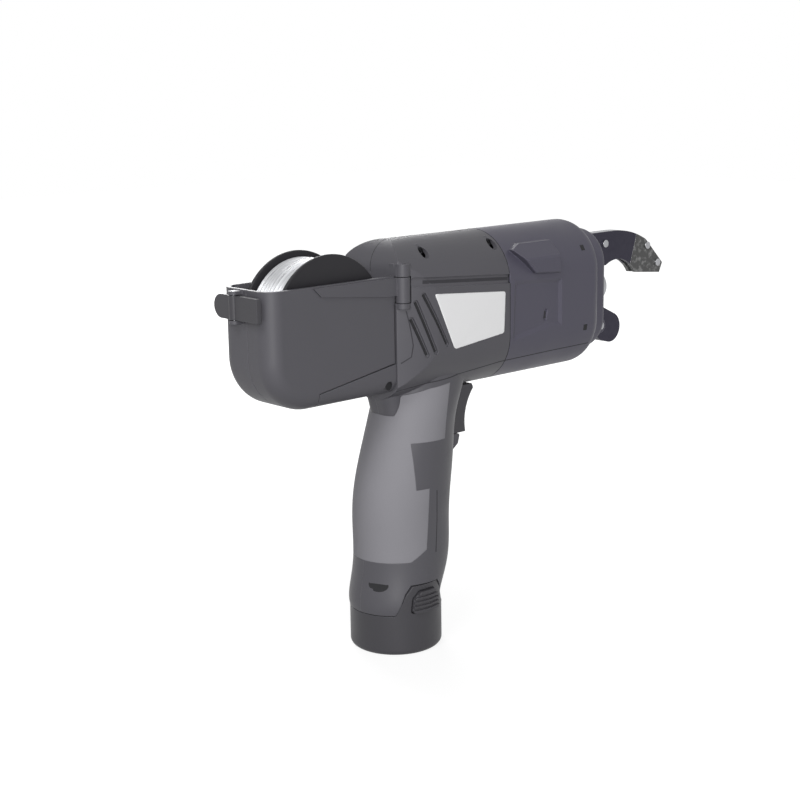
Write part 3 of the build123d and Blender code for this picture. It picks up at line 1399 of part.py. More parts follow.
with BuildPart() as battery_stem:
    with BuildSketch(Plane.XY.offset(BATTERY_HEIGHT)):
        with Locations((STEM_OFFSET, 0)):
            Circle(stem_radius)
    extrude(amount=stem_top - BATTERY_HEIGHT)
    with BuildSketch(Plane.XY.offset(BATTERY_HEIGHT)):
        with Locations((STEM_OFFSET, 0)):
            Circle(stem_inner)
    extrude(amount=stem_top - STEM_WALL - BATTERY_HEIGHT, mode=Mode.SUBTRACT)
    chamfer(edges().group_by(Axis.Z)[-1], STEM_WALL / 2)
save(battery_stem, "battery_stem")

with BuildPart() as battery_board:
    with BuildSketch(Plane.XY.offset(BATTERY_FLOOR)):
        with Locations((STEM_OFFSET, 0)):
            Circle(stem_inner - SEAT_GAP)
    extrude(amount=BOARD_THICKNESS)
save(battery_board, "battery_board")

with BuildPart() as battery_cells:
    with BuildSketch(Plane.XY.offset(cell_bottom)):
        with Locations((STEM_OFFSET, 0)):
            with PolarLocations(cell_ring, CELL_COUNT):
                Circle(CELL_RADIUS)
    extrude(amount=CELL_LENGTH)
save(battery_cells, "battery_cells")

with BuildPart() as battery_terminals:
    with BuildSketch(Plane.XY.offset(stem_top)):
        with Locations(*terminal_places):
            Rectangle(TERMINAL_WIDTH, TERMINAL_THICKNESS)
    extrude(amount=TERMINAL_HEIGHT)
save(battery_terminals, "battery_terminals")

for side, name in ((-1, "latch_button_right"), (1, "latch_button_left")):
    with BuildPart() as button:
        with BuildSketch(Plane.XZ.offset(-side * button_inner)):
            button_outline(0)
        extrude(amount=-side * (battery_radius + BUTTON_PROUD - button_inner))
        with BuildSketch(Plane.XY):
            Circle(battery_radius + BUTTON_PROUD)
        extrude(amount=2 * button_z, mode=Mode.INTERSECT)
        # grip ribs left between shallow grooves
        rib_pitch = BUTTON_HEIGHT / (BUTTON_RIBS + 1)
        for index in range(BUTTON_RIBS):
            groove_z = button_z + rib_pitch * (index - (BUTTON_RIBS - 1) / 2)
            with BuildSketch(Plane.XY.offset(groove_z - rib_pitch / 4)):
                Circle(2 * battery_radius)
                Circle(battery_radius + BUTTON_PROUD / 2, mode=Mode.SUBTRACT)
            extrude(amount=rib_pitch / 2, mode=Mode.SUBTRACT)
    save(button, name)


# Jaw: fixed arm of a grooved core between two plates, with steel cheeks at the tip
def arm_form(right, left):
    """Side outline of the arm between two places across Y, with its rivet holes."""
    with BuildPart() as form:
        with BuildSketch(Plane.XZ.offset(-right)):
            with BuildLine():
                Polyline(
                    arm_point((-ARM_TAIL, ARM_ABOVE)),
                    arm_point((-ARM_TAIL, ARM_TOP)),
                    arm_point((ARM_BACK, ARM_TOP)),
                )
                ThreePointArc(arm_point((ARM_BACK, ARM_TOP)), arm_point(ARM_BROW), arm_point(ARM_NECK))
                Polyline(
                    arm_point(ARM_NECK),
                    arm_point(ARM_NOSE),
                    arm_point(ARM_TIP),
                    arm_point(ARM_MOUTH_FRONT),
                )
                ThreePointArc(
                    arm_point(ARM_MOUTH_FRONT), arm_point(ARM_MOUTH_ROOF), arm_point(ARM_MOUTH_REAR)
                )
                Line(arm_point(ARM_MOUTH_REAR), arm_point((-ARM_TAIL, ARM_ABOVE)))
            make_face()
            with Locations(*[arm_point(place) for place in RIVETS]):
                Circle(RIVET_RADIUS + SEAT_GAP, mode=Mode.SUBTRACT)
        extrude(amount=right - left)
    return form.part


def arm_point(place):
    return (ring_front + place[0], axis_height + place[1])


with BuildPart() as tip_region:
    with BuildSketch(Plane.XZ):
        Polygon(
            arm_point((TIP_SPLIT_FORWARD - TIP_SPLIT_LEAN * BODY_WIDTH, -BODY_WIDTH)),
            arm_point((TIP_SPLIT_FORWARD + TIP_SPLIT_LEAN * BODY_WIDTH, BODY_WIDTH)),
            arm_point((2 * ARM_NOSE[0], BODY_WIDTH)),
            arm_point((2 * ARM_NOSE[0], -BODY_WIDTH)),
            align=None,
        )
    extrude(amount=ARM_THICKNESS, both=True)

arm_core = CURL_THICKNESS / 2
arm_outer = ARM_THICKNESS / 2

with BuildPart() as curl_guide:
    add(arm_form(-arm_core, arm_core))
    # the core stands back from the plates' inner edge, so that the edge is a groove for the wire
    with BuildSketch(Plane.XZ):
        with BuildLine():
            Polyline(arm_point(ARM_TIP), arm_point(ARM_MOUTH_FRONT))
            ThreePointArc(arm_point(ARM_MOUTH_FRONT), arm_point(ARM_MOUTH_ROOF), arm_point(ARM_MOUTH_REAR))
            Polyline(
                arm_point(ARM_MOUTH_REAR),
                arm_point((ARM_MOUTH_REAR[0], 0)),
                arm_point((ARM_TIP[0], 0)),
                arm_point(ARM_TIP),
            )
        make_face()
        offset(amount=CURL_GROOVE)
    extrude(amount=ARM_THICKNESS, both=True, mode=Mode.SUBTRACT)
save(curl_guide, "curl_guide")

for name, right, left in (
    ("arm_plate_right", -arm_outer, -arm_core),
    ("arm_plate_left", arm_core, arm_outer),
):
    with BuildPart() as arm_plate:
        add(arm_form(right, left))
        add(tip_region.part, mode=Mode.SUBTRACT)
    save(arm_plate, name)

with BuildPart() as tip_cheeks:
    add(arm_form(-arm_outer, -arm_core))
    add(arm_form(arm_core, arm_outer))
    add(tip_region.part, mode=Mode.INTERSECT)
save(tip_cheeks, "tip_cheeks")

with BuildPart() as arm_rivets:
    for place in RIVETS:
        x, z = arm_point(place)
        add(cross_rod(RIVET_RADIUS, x, z, -arm_outer, arm_outer))
        add(cross_rod(RIVET_HEAD, x, z, -arm_outer - RIVET_PROUD, -arm_outer))
        add(cross_rod(RIVET_HEAD, x, z, arm_outer, arm_outer + RIVET_PROUD))
save(arm_rivets, "arm_rivets")

# Sprung lower guide that catches the wire as it comes round
with BuildPart() as lower_guide:
    with BuildSketch(Plane.XZ):
        with BuildLine():
            Polyline(*[guide_point(place) for place in GUIDE_OUTLINE])
            ThreePointArc(
                guide_point(GUIDE_OUTLINE[-1]), guide_point(GUIDE_END), guide_point(GUIDE_OUTLINE[0])
            )
        make_face()
        with Locations((guide_x, guide_z)):
            Circle(PIN_RADIUS + RUN_FIT, mode=Mode.SUBTRACT)
    extrude(amount=GUIDE_WIDTH / 2, both=True)
    # channel, open above, that turns the wire back to the hook
    with Locations((guide_x + GUIDE_CHANNEL_REAR, 0, guide_z - GUIDE_CHANNEL_DROP)):
        Box(
            GUIDE_CHANNEL_FRONT - GUIDE_CHANNEL_REAR,
            GUIDE_CHANNEL,
            BODY_HEIGHT,
            align=(Align.MIN, Align.CENTER, Align.MIN),
            mode=Mode.SUBTRACT,
        )
save(lower_guide, "lower_guide")

lug_outer = GUIDE_WIDTH / 2 + SHUT_GAP + LUG_THICKNESS
with BuildPart() as guide_pin:
    add(cross_rod(PIN_RADIUS, guide_x, guide_z, -lug_outer, lug_outer))
    add(cross_rod(RIVET_HEAD, guide_x, guide_z, -lug_outer - RIVET_PROUD, -lug_outer))
    add(cross_rod(RIVET_HEAD, guide_x, guide_z, lug_outer, lug_outer + RIVET_PROUD))
save(guide_pin, "guide_pin")
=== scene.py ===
"""Looks of a cordless tying gun: finishes for its CAD pieces, and the fine pieces that the CAD leaves out."""

import math

import bpy
from mathutils import Matrix, Vector
from mathutils.bvhtree import BVHTree


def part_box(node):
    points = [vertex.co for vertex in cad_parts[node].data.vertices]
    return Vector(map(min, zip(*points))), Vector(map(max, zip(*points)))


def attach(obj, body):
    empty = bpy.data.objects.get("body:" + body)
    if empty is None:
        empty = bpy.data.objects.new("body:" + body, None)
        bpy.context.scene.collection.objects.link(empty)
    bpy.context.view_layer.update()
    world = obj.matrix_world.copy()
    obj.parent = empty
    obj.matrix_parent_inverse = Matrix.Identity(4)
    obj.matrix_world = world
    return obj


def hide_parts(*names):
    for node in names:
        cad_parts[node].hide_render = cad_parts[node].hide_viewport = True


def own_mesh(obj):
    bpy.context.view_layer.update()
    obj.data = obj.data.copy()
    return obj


bl_info = {
    "name": "Tying gun looks",
    "version": (1, 0, 0),
    "blender": (4, 5, 0),
    "location": "3D View > Sidebar > Tying gun",
    "description": "Dresses the tying gun's frame and adds its wire, label plate and shut lines",
    "category": "Object",
}

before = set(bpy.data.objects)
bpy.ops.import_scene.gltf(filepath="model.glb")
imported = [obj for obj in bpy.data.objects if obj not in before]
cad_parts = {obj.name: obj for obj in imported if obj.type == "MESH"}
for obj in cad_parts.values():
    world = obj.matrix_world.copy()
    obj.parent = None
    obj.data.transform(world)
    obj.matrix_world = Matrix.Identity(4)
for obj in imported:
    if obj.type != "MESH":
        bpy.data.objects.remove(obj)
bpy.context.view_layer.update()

MM = 0.001

# Photographed view: where the camera stands, its turn, tilt and roll in degrees, and its lens
CAMERA_PLACE = (-0.52677, -0.59128, 0.31129)
CAMERA_TURN = 42.0
CAMERA_TILT = 12.4
CAMERA_ROLL = -0.9
CAMERA_SENSOR = 36.0
CAMERA_LENS = 67.5

# Places on the flanks, in millimetres forward and up
LABEL_CORNERS = [(6.2, 197.0), (58.9, 192.8), (57.8, 170.0), (20.2, 166.0)]
LOWER_LINE = [(-13.0, 146.6), (24.0, 150.0), (58.8, 153.3), (101.3, 154.0), (132.0, 154.2)]
DOOR_LINE = [(-9.5, 189.4), (-7.5, 180.0), (-6.2, 171.0), (-7.2, 165.0), (-12.4, 161.9)]
FINGER_LINE = [(9.7, 89.6), (9.4, 72.8), (8.0, 55.1)]
# Lines of painted shade on the floors of the blind vents
VENT_LINES = [
    [(-6.8, 184.6), (1.7, 164.8)],
    [(-4.4, 193.4), (6.8, 166.0)],
    [(0.0, 197.0), (14.8, 169.2)],
]
# Painted shadow along the floor of the groove on the flanks
GROOVE_LINE = [(0.0, 203.7), (62.0, 199.4)]
# Painted shade in the oval recess on the nose
OVAL_LINE = [(92.5, 173.6), (92.5, 177.8)]
# Painted shade of the small screw pockets on the nose: their places, and the height and half-width of each in
# millimetres
NOSE_POCKETS = [(126.0, 210.4), (125.5, 164.6)]
POCKET_HEIGHT = 3.4
POCKET_HALF = 1.5

# Painted shade of the half-moon recess round the back of the collar: its top and depth in millimetres, the
# degrees it spans, and the share of its depth that is left at its two tips
COLLAR_NOTCH_TOP = 40.6
COLLAR_NOTCH_DROP = 4.4
COLLAR_NOTCH_TURN = (192, 219)
COLLAR_NOTCH_TIP = 0.1

# The gun's two flanks: the way along Y that each faces, and its word
SIDES = ((-1, "right"), (1, "left"))

# Starts of straight looks that find a surface, in metres: towards an axis, from one side and from above
LOOK_AXIS = 0.1
LOOK_SIDE = 0.2
LOOK_ABOVE = 0.3

# Thin strips: how far they stand out of their surface and reach into it, and the step along a flank
STRIP_LIFT = 0.05 * MM
STRIP_SINK = 0.3 * MM
FLANK_STEP = 2.5 * MM

# Ring seam behind the nose cover
NOSE_SEAM_GAP = 0.3 * MM
NOSE_SEAM_STEPS = 120

# Parting line of the two halves, just right of the middle plane and finer than the ring seam.
# It goes over the barrel's back as a fan about a hub, forward along its top, and down the grip's front.
PARTING_OFF = 0.05 * MM
PARTING_SHARE = 0.6
FAN_FORWARD = 15.0 * MM
FAN_RISE = 1.0 * MM
FAN_STEP = 3            # degrees
TOP_START = 20          # millimetres
TOP_STEP = 4            # millimetres
GRIP_UNDER_TRIGGER = 16.0 * MM
GRIP_BELOW_FOOT = 8.0 * MM
GRIP_STEP = 3.0 * MM

# Wound wire: points in a turn, unevenness of the lay in wire diameters, and its pace in radians a turn
WIRE_STEPS = 60
WIRE_WANDER = 0.12
WIRE_WANDER_PACE = 2.3

# Lower layers of wire: points round them, how far they lie under the outer layer and how deep their
# ridges are, both in wire diameters, and the room between their bore and the spindle
BULK_STEPS = 72
BULK_DROP = 0.62
RIDGE_DEPTH = 0.4
BULK_CLEARANCE = 1.2 * MM

# Trigger's spring
SPRING_TURNS = 5
SPRING_STEPS = 36

# Label plate: steps round a corner, and the rise and the draw-in of its softened edge as shares
LABEL_CORNER_STEPS = 4
LABEL_EDGE_RISE = 0.6
LABEL_EDGE_DRAW = 0.985

# Stage, in metres and watts: lamps with their place, size and power, and the point that they aim at
LAMPS = [
    ("key_light", (-1.1, -0.5, 1.2), 0.6, 8.0),
    ("front_light", (-0.95, -1.15, 0.5), 0.35, 18.0),
    ("back_light", (0.6, 1.2, 0.6), 0.8, 13.0),
]
LAMP_AIM = Vector((0.05, 0.0, 0.14))
WORLD_LIGHT = 0.15
WHITE = (1.0, 1.0, 1.0, 1.0)

# Floor: half its side, how strongly it is lifted to white under the gun, and the distances from the
# middle between which that rises to full white
FLOOR_HALF = 3.0
FLOOR_LIFT_NEAR = 0.82
FLOOR_FADE = (0.03, 0.3)


def linear(code):
    """Linear red, green, blue and alpha of an sRGB hex colour."""
    shares = [int(code[i:i + 2], 16) / 255 for i in (1, 3, 5)]
    return tuple(s / 12.92 if s <= 0.04045 else ((s + 0.055) / 1.055) ** 2.4 for s in shares) + (1.0,)


def per_mm(size):
    """Texture scale at which one feature of a pattern is this many millimetres across."""
    return 1.0 / (size * MM)


class GunColours(bpy.types.PropertyGroup):
    """Colours of the gun's finishes."""

    shell: bpy.props.FloatVectorProperty(
        name="Shell", description="Barrel, grip and reel box", subtype="COLOR", size=4, min=0, max=1,
        default=linear("#4d4c51"))
    nose: bpy.props.FloatVectorProperty(
        name="Nose", description="Nose cover and its ring", subtype="COLOR", size=4, min=0, max=1,
        default=linear("#4b4955"))
    battery: bpy.props.FloatVectorProperty(
        name="Battery", description="Battery, trigger and latch", subtype="COLOR", size=4, min=0, max=1,
        default=linear("#3b3a3e"))
    rubber: bpy.props.FloatVectorProperty(
        name="Rubber", description="Grip sleeve", subtype="COLOR", size=4, min=0, max=1,
        default=linear("#807f84"))
    label: bpy.props.FloatVectorProperty(
        name="Label", description="Bare label plate", subtype="COLOR", size=4, min=0, max=1,
        default=linear("#e9e9ea"))
    wire: bpy.props.FloatVectorProperty(
        name="Wire", description="Tie wire", subtype="COLOR", size=4, min=0, max=1,
        default=linear("#cccdd0"))


class GunSizes(bpy.types.PropertyGroup):
    """Sizes of the pieces that the CAD leaves out."""

    wire_diameter: bpy.props.FloatProperty(
        name="Wire diameter", description="Tie wire on the reel", unit="LENGTH", default=0.8 * MM)
    wire_pitch: bpy.props.FloatProperty(
        name="Wire pitch", description="Step from one turn to the next", unit="LENGTH", default=0.92 * MM)
    label_thickness: bpy.props.FloatProperty(
        name="Label thickness", description="Bare plate on the right flank", unit="LENGTH", default=0.35 * MM)
    label_round: bpy.props.FloatProperty(
        name="Label corner", description="Radius of the plate's corners", unit="LENGTH", default=1.6 * MM)
    seam_width: bpy.props.FloatProperty(
        name="Seam width", description="Shut line between moulded pieces", unit="LENGTH", default=0.5 * MM)
    line_width: bpy.props.FloatProperty(
        name="Flank line width", description="Moulded line along the flanks", unit="LENGTH", default=0.6 * MM)
    # strip of painted shade in a blind vent and in the oval recess
    vent_shade: bpy.props.FloatProperty(
        name="Vent shade width", description="Painted shade on the floor of a blind vent and of the oval recess",
        unit="LENGTH", default=2.0 * MM)
    # strip of painted shadow along the floor of the groove
    groove_shade: bpy.props.FloatProperty(
        name="Groove shade width", description="Shaded floor of the line along the flanks", unit="LENGTH",
        default=1.8 * MM)
    spring_wire: bpy.props.FloatProperty(
        name="Spring wire", description="Wire of the trigger's spring", unit="LENGTH", default=0.9 * MM)


def add_node(tree, kind, inputs=None, **settings):
    """Adds a node with its settings, and sets or links its inputs by name or place."""
    node = tree.nodes.new(kind)
    for name, value in settings.items():
        setattr(node, name, value)
    for socket, value in (inputs or {}).items():
        if isinstance(value, bpy.types.NodeSocket):
            tree.links.new(value, node.inputs[socket])
        else:
            node.inputs[socket].default_value = value
    return node


def new_material(name):
    """Empty node material."""
    material = bpy.data.materials.new(name)
    material.use_nodes = True
    material.node_tree.nodes.clear()
    return material, material.node_tree


def worn_edges(tree, radius_mm):
    """Rounded normal for sharp edges, and a mask that is 1 on them."""
    rounded = add_node(tree, "ShaderNodeBevel", {"Radius": radius_mm * MM}, samples=6)
    flat = add_node(tree, "ShaderNodeNewGeometry")
    facing = add_node(
        tree, "ShaderNodeVectorMath",
        {0: rounded.outputs["Normal"], 1: flat.outputs["Normal"]}, operation="DOT_PRODUCT")
    mask = add_node(
        tree, "ShaderNodeMapRange",
        {"Value": facing.outputs["Value"], "From Min": 0.99, "From Max": 0.75, "To Min": 0.0, "To Max": 1.0})
    return rounded.outputs["Normal"], mask.outputs["Result"]


def tinted(colour, factor):
    """Colour made darker or paler by a factor."""
    return tuple(min(1.0, channel * factor) for channel in colour[:3]) + (1.0,)


# Plastic moulded in a spark-eroded tool: a satin skin with a fine even grain, paler where edges are rubbed
# and uneven in gloss where it has been handled
def moulded_plastic(name, colour, roughness=0.48, grain_mm=0.8):
    material, tree = new_material(name)
    place = add_node(tree, "ShaderNodeTexCoord").outputs["Object"]
    normal, edge = worn_edges(tree, 0.6)
    handled = add_node(
        tree, "ShaderNodeTexNoise", {"Vector": place, "Scale": per_mm(26.0), "Detail": 3.0})
    # the real grain is about 0.1 mm; it is drawn at grain_mm so that the render can show it
    grain = add_node(
        tree, "ShaderNodeTexNoise", {"Vector": place, "Scale": per_mm(grain_mm), "Detail": 2.0})
    tone = add_node(tree, "ShaderNodeValToRGB", {"Fac": handled.outputs["Fac"]})
    tone.color_ramp.elements[0].color = tinted(colour, 0.93)
    tone.color_ramp.elements[1].color = tinted(colour, 1.07)
    rubbed = add_node(
        tree, "ShaderNodeMath", {0: edge, 1: handled.outputs["Fac"]}, operation="MULTIPLY")
    gloss = add_node(
        tree, "ShaderNodeMapRange",
        {"Value": handled.outputs["Fac"], "From Min": 0.3, "From Max": 0.7,
         "To Min": roughness - 0.05, "To Max": roughness + 0.05})
    bump = add_node(
        tree, "ShaderNodeBump",
        {"Height": grain.outputs["Fac"], "Strength": 0.16, "Distance": 0.1 * MM, "Normal": normal})
    skin = add_node(
        tree, "ShaderNodeMix",
        {"Factor": rubbed.outputs["Value"], "A": tone.outputs["Color"], "B": tinted(colour, 2.0)},
        data_type="RGBA")
    body = add_node(
        tree, "ShaderNodeBsdfPrincipled",
        {"Base Color": skin.outputs["Result"], "Roughness": gloss.outputs["Result"],
         "Normal": bump.outputs["Normal"], "IOR": 1.53, "Specular IOR Level": 0.3})
    add_node(tree, "ShaderNodeOutputMaterial", {"Surface": body.outputs["BSDF"]})
    return material


# Thermoplastic rubber, moulded over the grip: matt and paler than the shell, with a soft pebbled skin
def grip_rubber(name, colour):
    material, tree = new_material(name)
    place = add_node(tree, "ShaderNodeTexCoord").outputs["Object"]
    normal, edge = worn_edges(tree, 0.6)
    dust = add_node(
        tree, "ShaderNodeTexNoise", {"Vector": place, "Scale": per_mm(30.0), "Detail": 3.0})
    pebbles = add_node(
        tree, "ShaderNodeTexVoronoi", {"Vector": place, "Scale": per_mm(1.1)}, feature="SMOOTH_F1")
    tone = add_node(tree, "ShaderNodeValToRGB", {"Fac": dust.outputs["Fac"]})
    tone.color_ramp.elements[0].color = tinted(colour, 0.95)
    tone.color_ramp.elements[1].color = tinted(colour, 1.05)
    bump = add_node(
        tree, "ShaderNodeBump",
        {"Height": pebbles.outputs["Distance"], "Strength": 0.2, "Distance": 0.15 * MM, "Normal": normal})
    skin = add_node(
        tree, "ShaderNodeMix",
        {"Factor": edge, "A": tone.outputs["Color"], "B": tinted(colour, 0.75)}, data_type="RGBA")
    body = add_node(
        tree, "ShaderNodeBsdfPrincipled",
        {"Base Color": skin.outputs["Result"], "Roughness": 0.7,
         "Normal": bump.outputs["Normal"], "IOR": 1.5, "Specular IOR Level": 0.3})
    add_node(tree, "ShaderNodeOutputMaterial", {"Surface": body.outputs["BSDF"]})
    return material


# Blackened steel sheet: a dark blue-black oxide that is worn to bare metal on edges and in small patches
def blackened_steel(name, code, wear=0.6, bare="#8e8c92", bare_share=0.0):
    material, tree = new_material(name)
    place = add_node(tree, "ShaderNodeTexCoord").outputs["Object"]
    normal, edge = worn_edges(tree, 0.35)
    patches = add_node(
        tree, "ShaderNodeTexNoise", {"Vector": place, "Scale": per_mm(2.4), "Detail": 6.0})
    flecks = add_node(
        tree, "ShaderNodeMapRange",
        {"Value": patches.outputs["Fac"], "From Min": 0.5, "From Max": 0.68,
         "To Min": 0.0, "To Max": bare_share})
    rubbed = add_node(tree, "ShaderNodeMath", {0: edge, 1: wear}, operation="MULTIPLY")
    share = add_node(
        tree, "ShaderNodeMath",
        {0: rubbed.outputs["Value"], 1: flecks.outputs["Result"]}, operation="MAXIMUM")
    gloss = add_node(
        tree, "ShaderNodeMapRange",
        {"Value": patches.outputs["Fac"], "From Min": 0.3, "From Max": 0.7, "To Min": 0.36, "To Max": 0.52})
    skin = add_node(
        tree, "ShaderNodeMix",
        {"Factor": share.outputs["Value"], "A": linear(code), "B": linear(bare)}, data_type="RGBA")
    body = add_node(
        tree, "ShaderNodeBsdfPrincipled",
        {"Base Color": skin.outputs["Result"], "Metallic": 0.7, "Roughness": gloss.outputs["Result"],
         "Normal": normal})
    add_node(tree, "ShaderNodeOutputMaterial", {"Surface": body.outputs["BSDF"]})
    return material


# Bright steel, ground or drawn: pale grey metal with fine lines along the way it was worked
def bright_steel(name, colour, roughness=0.3, line_mm=0.5, stretch=(1.0, 1.0, 0.05), stain=0.8):
    material, tree = new_material(name)
    place = add_node(tree, "ShaderNodeTexCoord").outputs["Object"]
    normal, edge = worn_edges(tree, 0.3)
    worked = add_node(tree, "ShaderNodeMapping", {"Vector": place, "Scale": stretch})
    # the real lines are finer than line_mm; they are drawn so coarse that the render can show them
    lines = add_node(
        tree, "ShaderNodeTexNoise",
        {"Vector": worked.outputs["Vector"], "Scale": per_mm(line_mm), "Detail": 3.0})
    tone = add_node(tree, "ShaderNodeValToRGB", {"Fac": lines.outputs["Fac"]})
    tone.color_ramp.elements[0].position = 0.3
    tone.color_ramp.elements[0].color = tinted(colour, stain)
    tone.color_ramp.elements[1].position = 0.7
    tone.color_ramp.elements[1].color = tinted(colour, 1.08)
    gloss = add_node(
        tree, "ShaderNodeMapRange",
        {"Value": lines.outputs["Fac"], "From Min": 0.3, "From Max": 0.7,
         "To Min": roughness - 0.06, "To Max": roughness + 0.1})
    bump = add_node(
        tree, "ShaderNodeBump",
        {"Height": lines.outputs["Fac"], "Strength": 0.12, "Distance": 0.05 * MM, "Normal": normal})
    skin = add_node(
        tree, "ShaderNodeMix",
        {"Factor": edge, "A": tone.outputs["Color"], "B": linear("#e3e4e6")}, data_type="RGBA")
    body = add_node(
        tree, "ShaderNodeBsdfPrincipled",
        {"Base Color": skin.outputs["Result"], "Metallic": 1.0, "Roughness": gloss.outputs["Result"],
         "Normal": bump.outputs["Normal"]})
    add_node(tree, "ShaderNodeOutputMaterial", {"Surface": body.outputs["BSDF"]})
    return material


# Vinyl film on a plate: smooth and white, greyer at its cut edge, with a soft satin gloss
def label_vinyl(name, colour):
    material, tree = new_material(name)
    place = add_node(tree, "ShaderNodeTexCoord").outputs["Object"]
    normal, edge = worn_edges(tree, 0.2)
    ripple = add_node(
        tree, "ShaderNodeTexNoise", {"Vector": place, "Scale": per_mm(9.0), "Detail": 2.0})
    bump = add_node(
        tree, "ShaderNodeBump",
        {"Height": ripple.outputs["Fac"], "Strength": 0.1, "Distance": 0.1 * MM, "Normal": normal})
    skin = add_node(
        tree, "ShaderNodeMix",
        {"Factor": edge, "A": tinted(colour, 1.0), "B": tinted(colour, 0.8)}, data_type="RGBA")
    body = add_node(
        tree, "ShaderNodeBsdfPrincipled",
        {"Base Color": skin.outputs["Result"], "Roughness": 0.38,
         "Normal": bump.outputs["Normal"], "IOR": 1.5})
    add_node(tree, "ShaderNodeOutputMaterial", {"Surface": body.outputs["BSDF"]})
    return material


# Shadow in a shut line: matt and dark, with a trace of dust
def shut_line(name, dark, pale):
    material, tree = new_material(name)
    place = add_node(tree, "ShaderNodeTexCoord").outputs["Object"]
    dust = add_node(
        tree, "ShaderNodeTexNoise", {"Vector": place, "Scale": per_mm(6.0), "Detail": 4.0})
    skin = add_node(
        tree, "ShaderNodeMix",
        {"Factor": dust.outputs["Fac"], "A": linear(dark), "B": linear(pale)}, data_type="RGBA")
    bump = add_node(
        tree, "ShaderNodeBump", {"Height": dust.outputs["Fac"], "Strength": 0.1, "Distance": 0.05 * MM})
    body = add_node(
        tree, "ShaderNodeBsdfPrincipled",
        {"Base Color": skin.outputs["Result"], "Roughness": 0.9, "Normal": bump.outputs["Normal"]})
    add_node(tree, "ShaderNodeOutputMaterial", {"Surface": body.outputs["BSDF"]})
    return material


def dress(names, material):
    """Gives CAD nodes a finish."""
    for name in names:
        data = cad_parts[name].data
        data.materials.clear()
        data.materials.append(material)


def place_piece(name, data, body):
    """Object in the CAD frame that rides on a body."""
    piece = bpy.data.objects.new(name, data)
    bpy.context.scene.collection.objects.link(piece)
    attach(piece, body)
    return piece


def new_piece(name, verts, faces, material, body, smooth=False):
    """Mesh piece from its points and faces."""
    data = bpy.data.meshes.new(name)
    data.from_pydata([tuple(v) for v in verts], [], faces)
    data.materials.append(material)
    data.polygons.foreach_set("use_smooth", [smooth] * len(data.polygons))
    data.update()
    return place_piece(name, data, body)


def wound_wire(name, points, diameter, material, body):
    """Round wire along points, as one unbroken tube."""
    data = bpy.data.curves.new(name, "CURVE")
    data.dimensions = "3D"
    data.bevel_depth = diameter / 2
    data.bevel_resolution = 2
    data.use_fill_caps = True
    spline = data.splines.new("POLY")
    spline.points.add(len(points) - 1)
    for point, place in zip(spline.points, points):
        point.co = (*place, 1.0)
    spline.use_smooth = True
    data.materials.append(material)
    route = bpy.data.objects.new(f"{name}_route", data)
    tube = bpy.data.meshes.new_from_object(route)
    bpy.data.objects.remove(route)
    return place_piece(name, tube, body)


def strip(name, line, width, material, body, closed=False):
    """Thin band along (place, surface normal) pairs, a little proud of the surface that carries it.

    Its width is one size, or a list with one for each pair.
    """
    verts = []
    faces = []
    count = len(line)
    widths = width if isinstance(width, list) else [width] * count
    for i, (place, normal) in enumerate(line):
        ahead = line[(i + 1) % count][0] if closed or i + 1 < count else place
        behind = line[i - 1][0] if closed or i else place
        side = (ahead - behind).cross(normal).normalized() * (widths[i] / 2)
        rim = ((side, STRIP_LIFT), (side, -STRIP_SINK), (-side, -STRIP_SINK), (-side, STRIP_LIFT))
        for reach, level in rim:
            verts.append(place + reach + normal * level)
    for i in range(count if closed else count - 1):
        a = 4 * i
        b = 4 * ((i + 1) % count)
        for k in range(4):
            faces.append((a + k, a + (k + 1) % 4, b + (k + 1) % 4, b + k))
    if not closed:
        last = 4 * (count - 1)
        faces.append((3, 2, 1, 0))
        faces.append((last, last + 1, last + 2, last + 3))
    return new_piece(name, verts, faces, material, body)


def surface(names):
    """Search trees of CAD nodes, to lay pieces on their surfaces."""
    graph = bpy.context.evaluated_depsgraph_get()
    return [BVHTree.FromObject(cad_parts[name], graph) for name in names]


def land(trees, start, way):
    """First point and normal that a straight look meets."""
    hits = [tree.ray_cast(start, way) for tree in trees]
    hits = [hit for hit in hits if hit[0] is not None]
    if not hits:
        raise RuntimeError(f"nothing to land on from {tuple(start)}")
    place, normal, _, _ = min(hits, key=lambda hit: hit[3])
    return place, normal


def along(corners, step):
    """Points at even steps on a line through corners."""
    points = []
    for start, end in zip(corners, corners[1:]):
        count = max(1, round((end - start).length / step))
        points.extend(start.lerp(end, i / count) for i in range(count))
    points.append(corners[-1])
    return points


def settings():
    """Colours and sizes that the user can change."""
    return bpy.context.scene.gun_colours, bpy.context.scene.gun_sizes


class GUN_OT_dress_shell(bpy.types.Operator):
    """Finishes the moulded pieces: shell, nose, battery, grip and reel"""

    bl_idname = "gun.dress_shell"
    bl_label = "Dress the moulded pieces"

    def execute(self, context):
        colours, _ = settings()
        # glass-filled nylon: satin and dark grey, on the nose a little bluer
        shell = moulded_plastic("shell glass-filled nylon", colours.shell)
        dress(["right_housing", "left_housing", "reel_box", "reel_door", "hinge_strap"], shell)
        dress(["nose_cover", "nose_ring"], moulded_plastic("nose glass-filled nylon", colours.nose))
        # ABS: darker and a little smoother than the nylon
        dark = moulded_plastic("dark ABS", colours.battery, roughness=0.45)
        dress(["battery_base", "battery_stem", "trigger", "door_latch", "latch_button_right",
               "latch_button_left", "contact_block", "trigger_switch", "power_slide"], dark)
        dress(["grip_sleeve"], grip_rubber("grip thermoplastic rubber", colours.rubber))
        # polystyrene: nearly black and dull, with coarse flow marks
        reel = moulded_plastic("reel black polystyrene", linear("#19181c"), roughness=0.55, grain_mm=2.0)
        dress(["wire_reel"], reel)
        # epoxy board under green lacquer: smooth and half glossy
        board = moulded_plastic("circuit board epoxy", linear("#1d5232"), roughness=0.35)
        dress(["control_board", "battery_board"], board)
        # shrink film on the cells: blue and glossy
        wrap = moulded_plastic("cell shrink film", linear("#2a5f96"), roughness=0.3)
        dress(["battery_cells"], wrap)
        return {"FINISHED"}


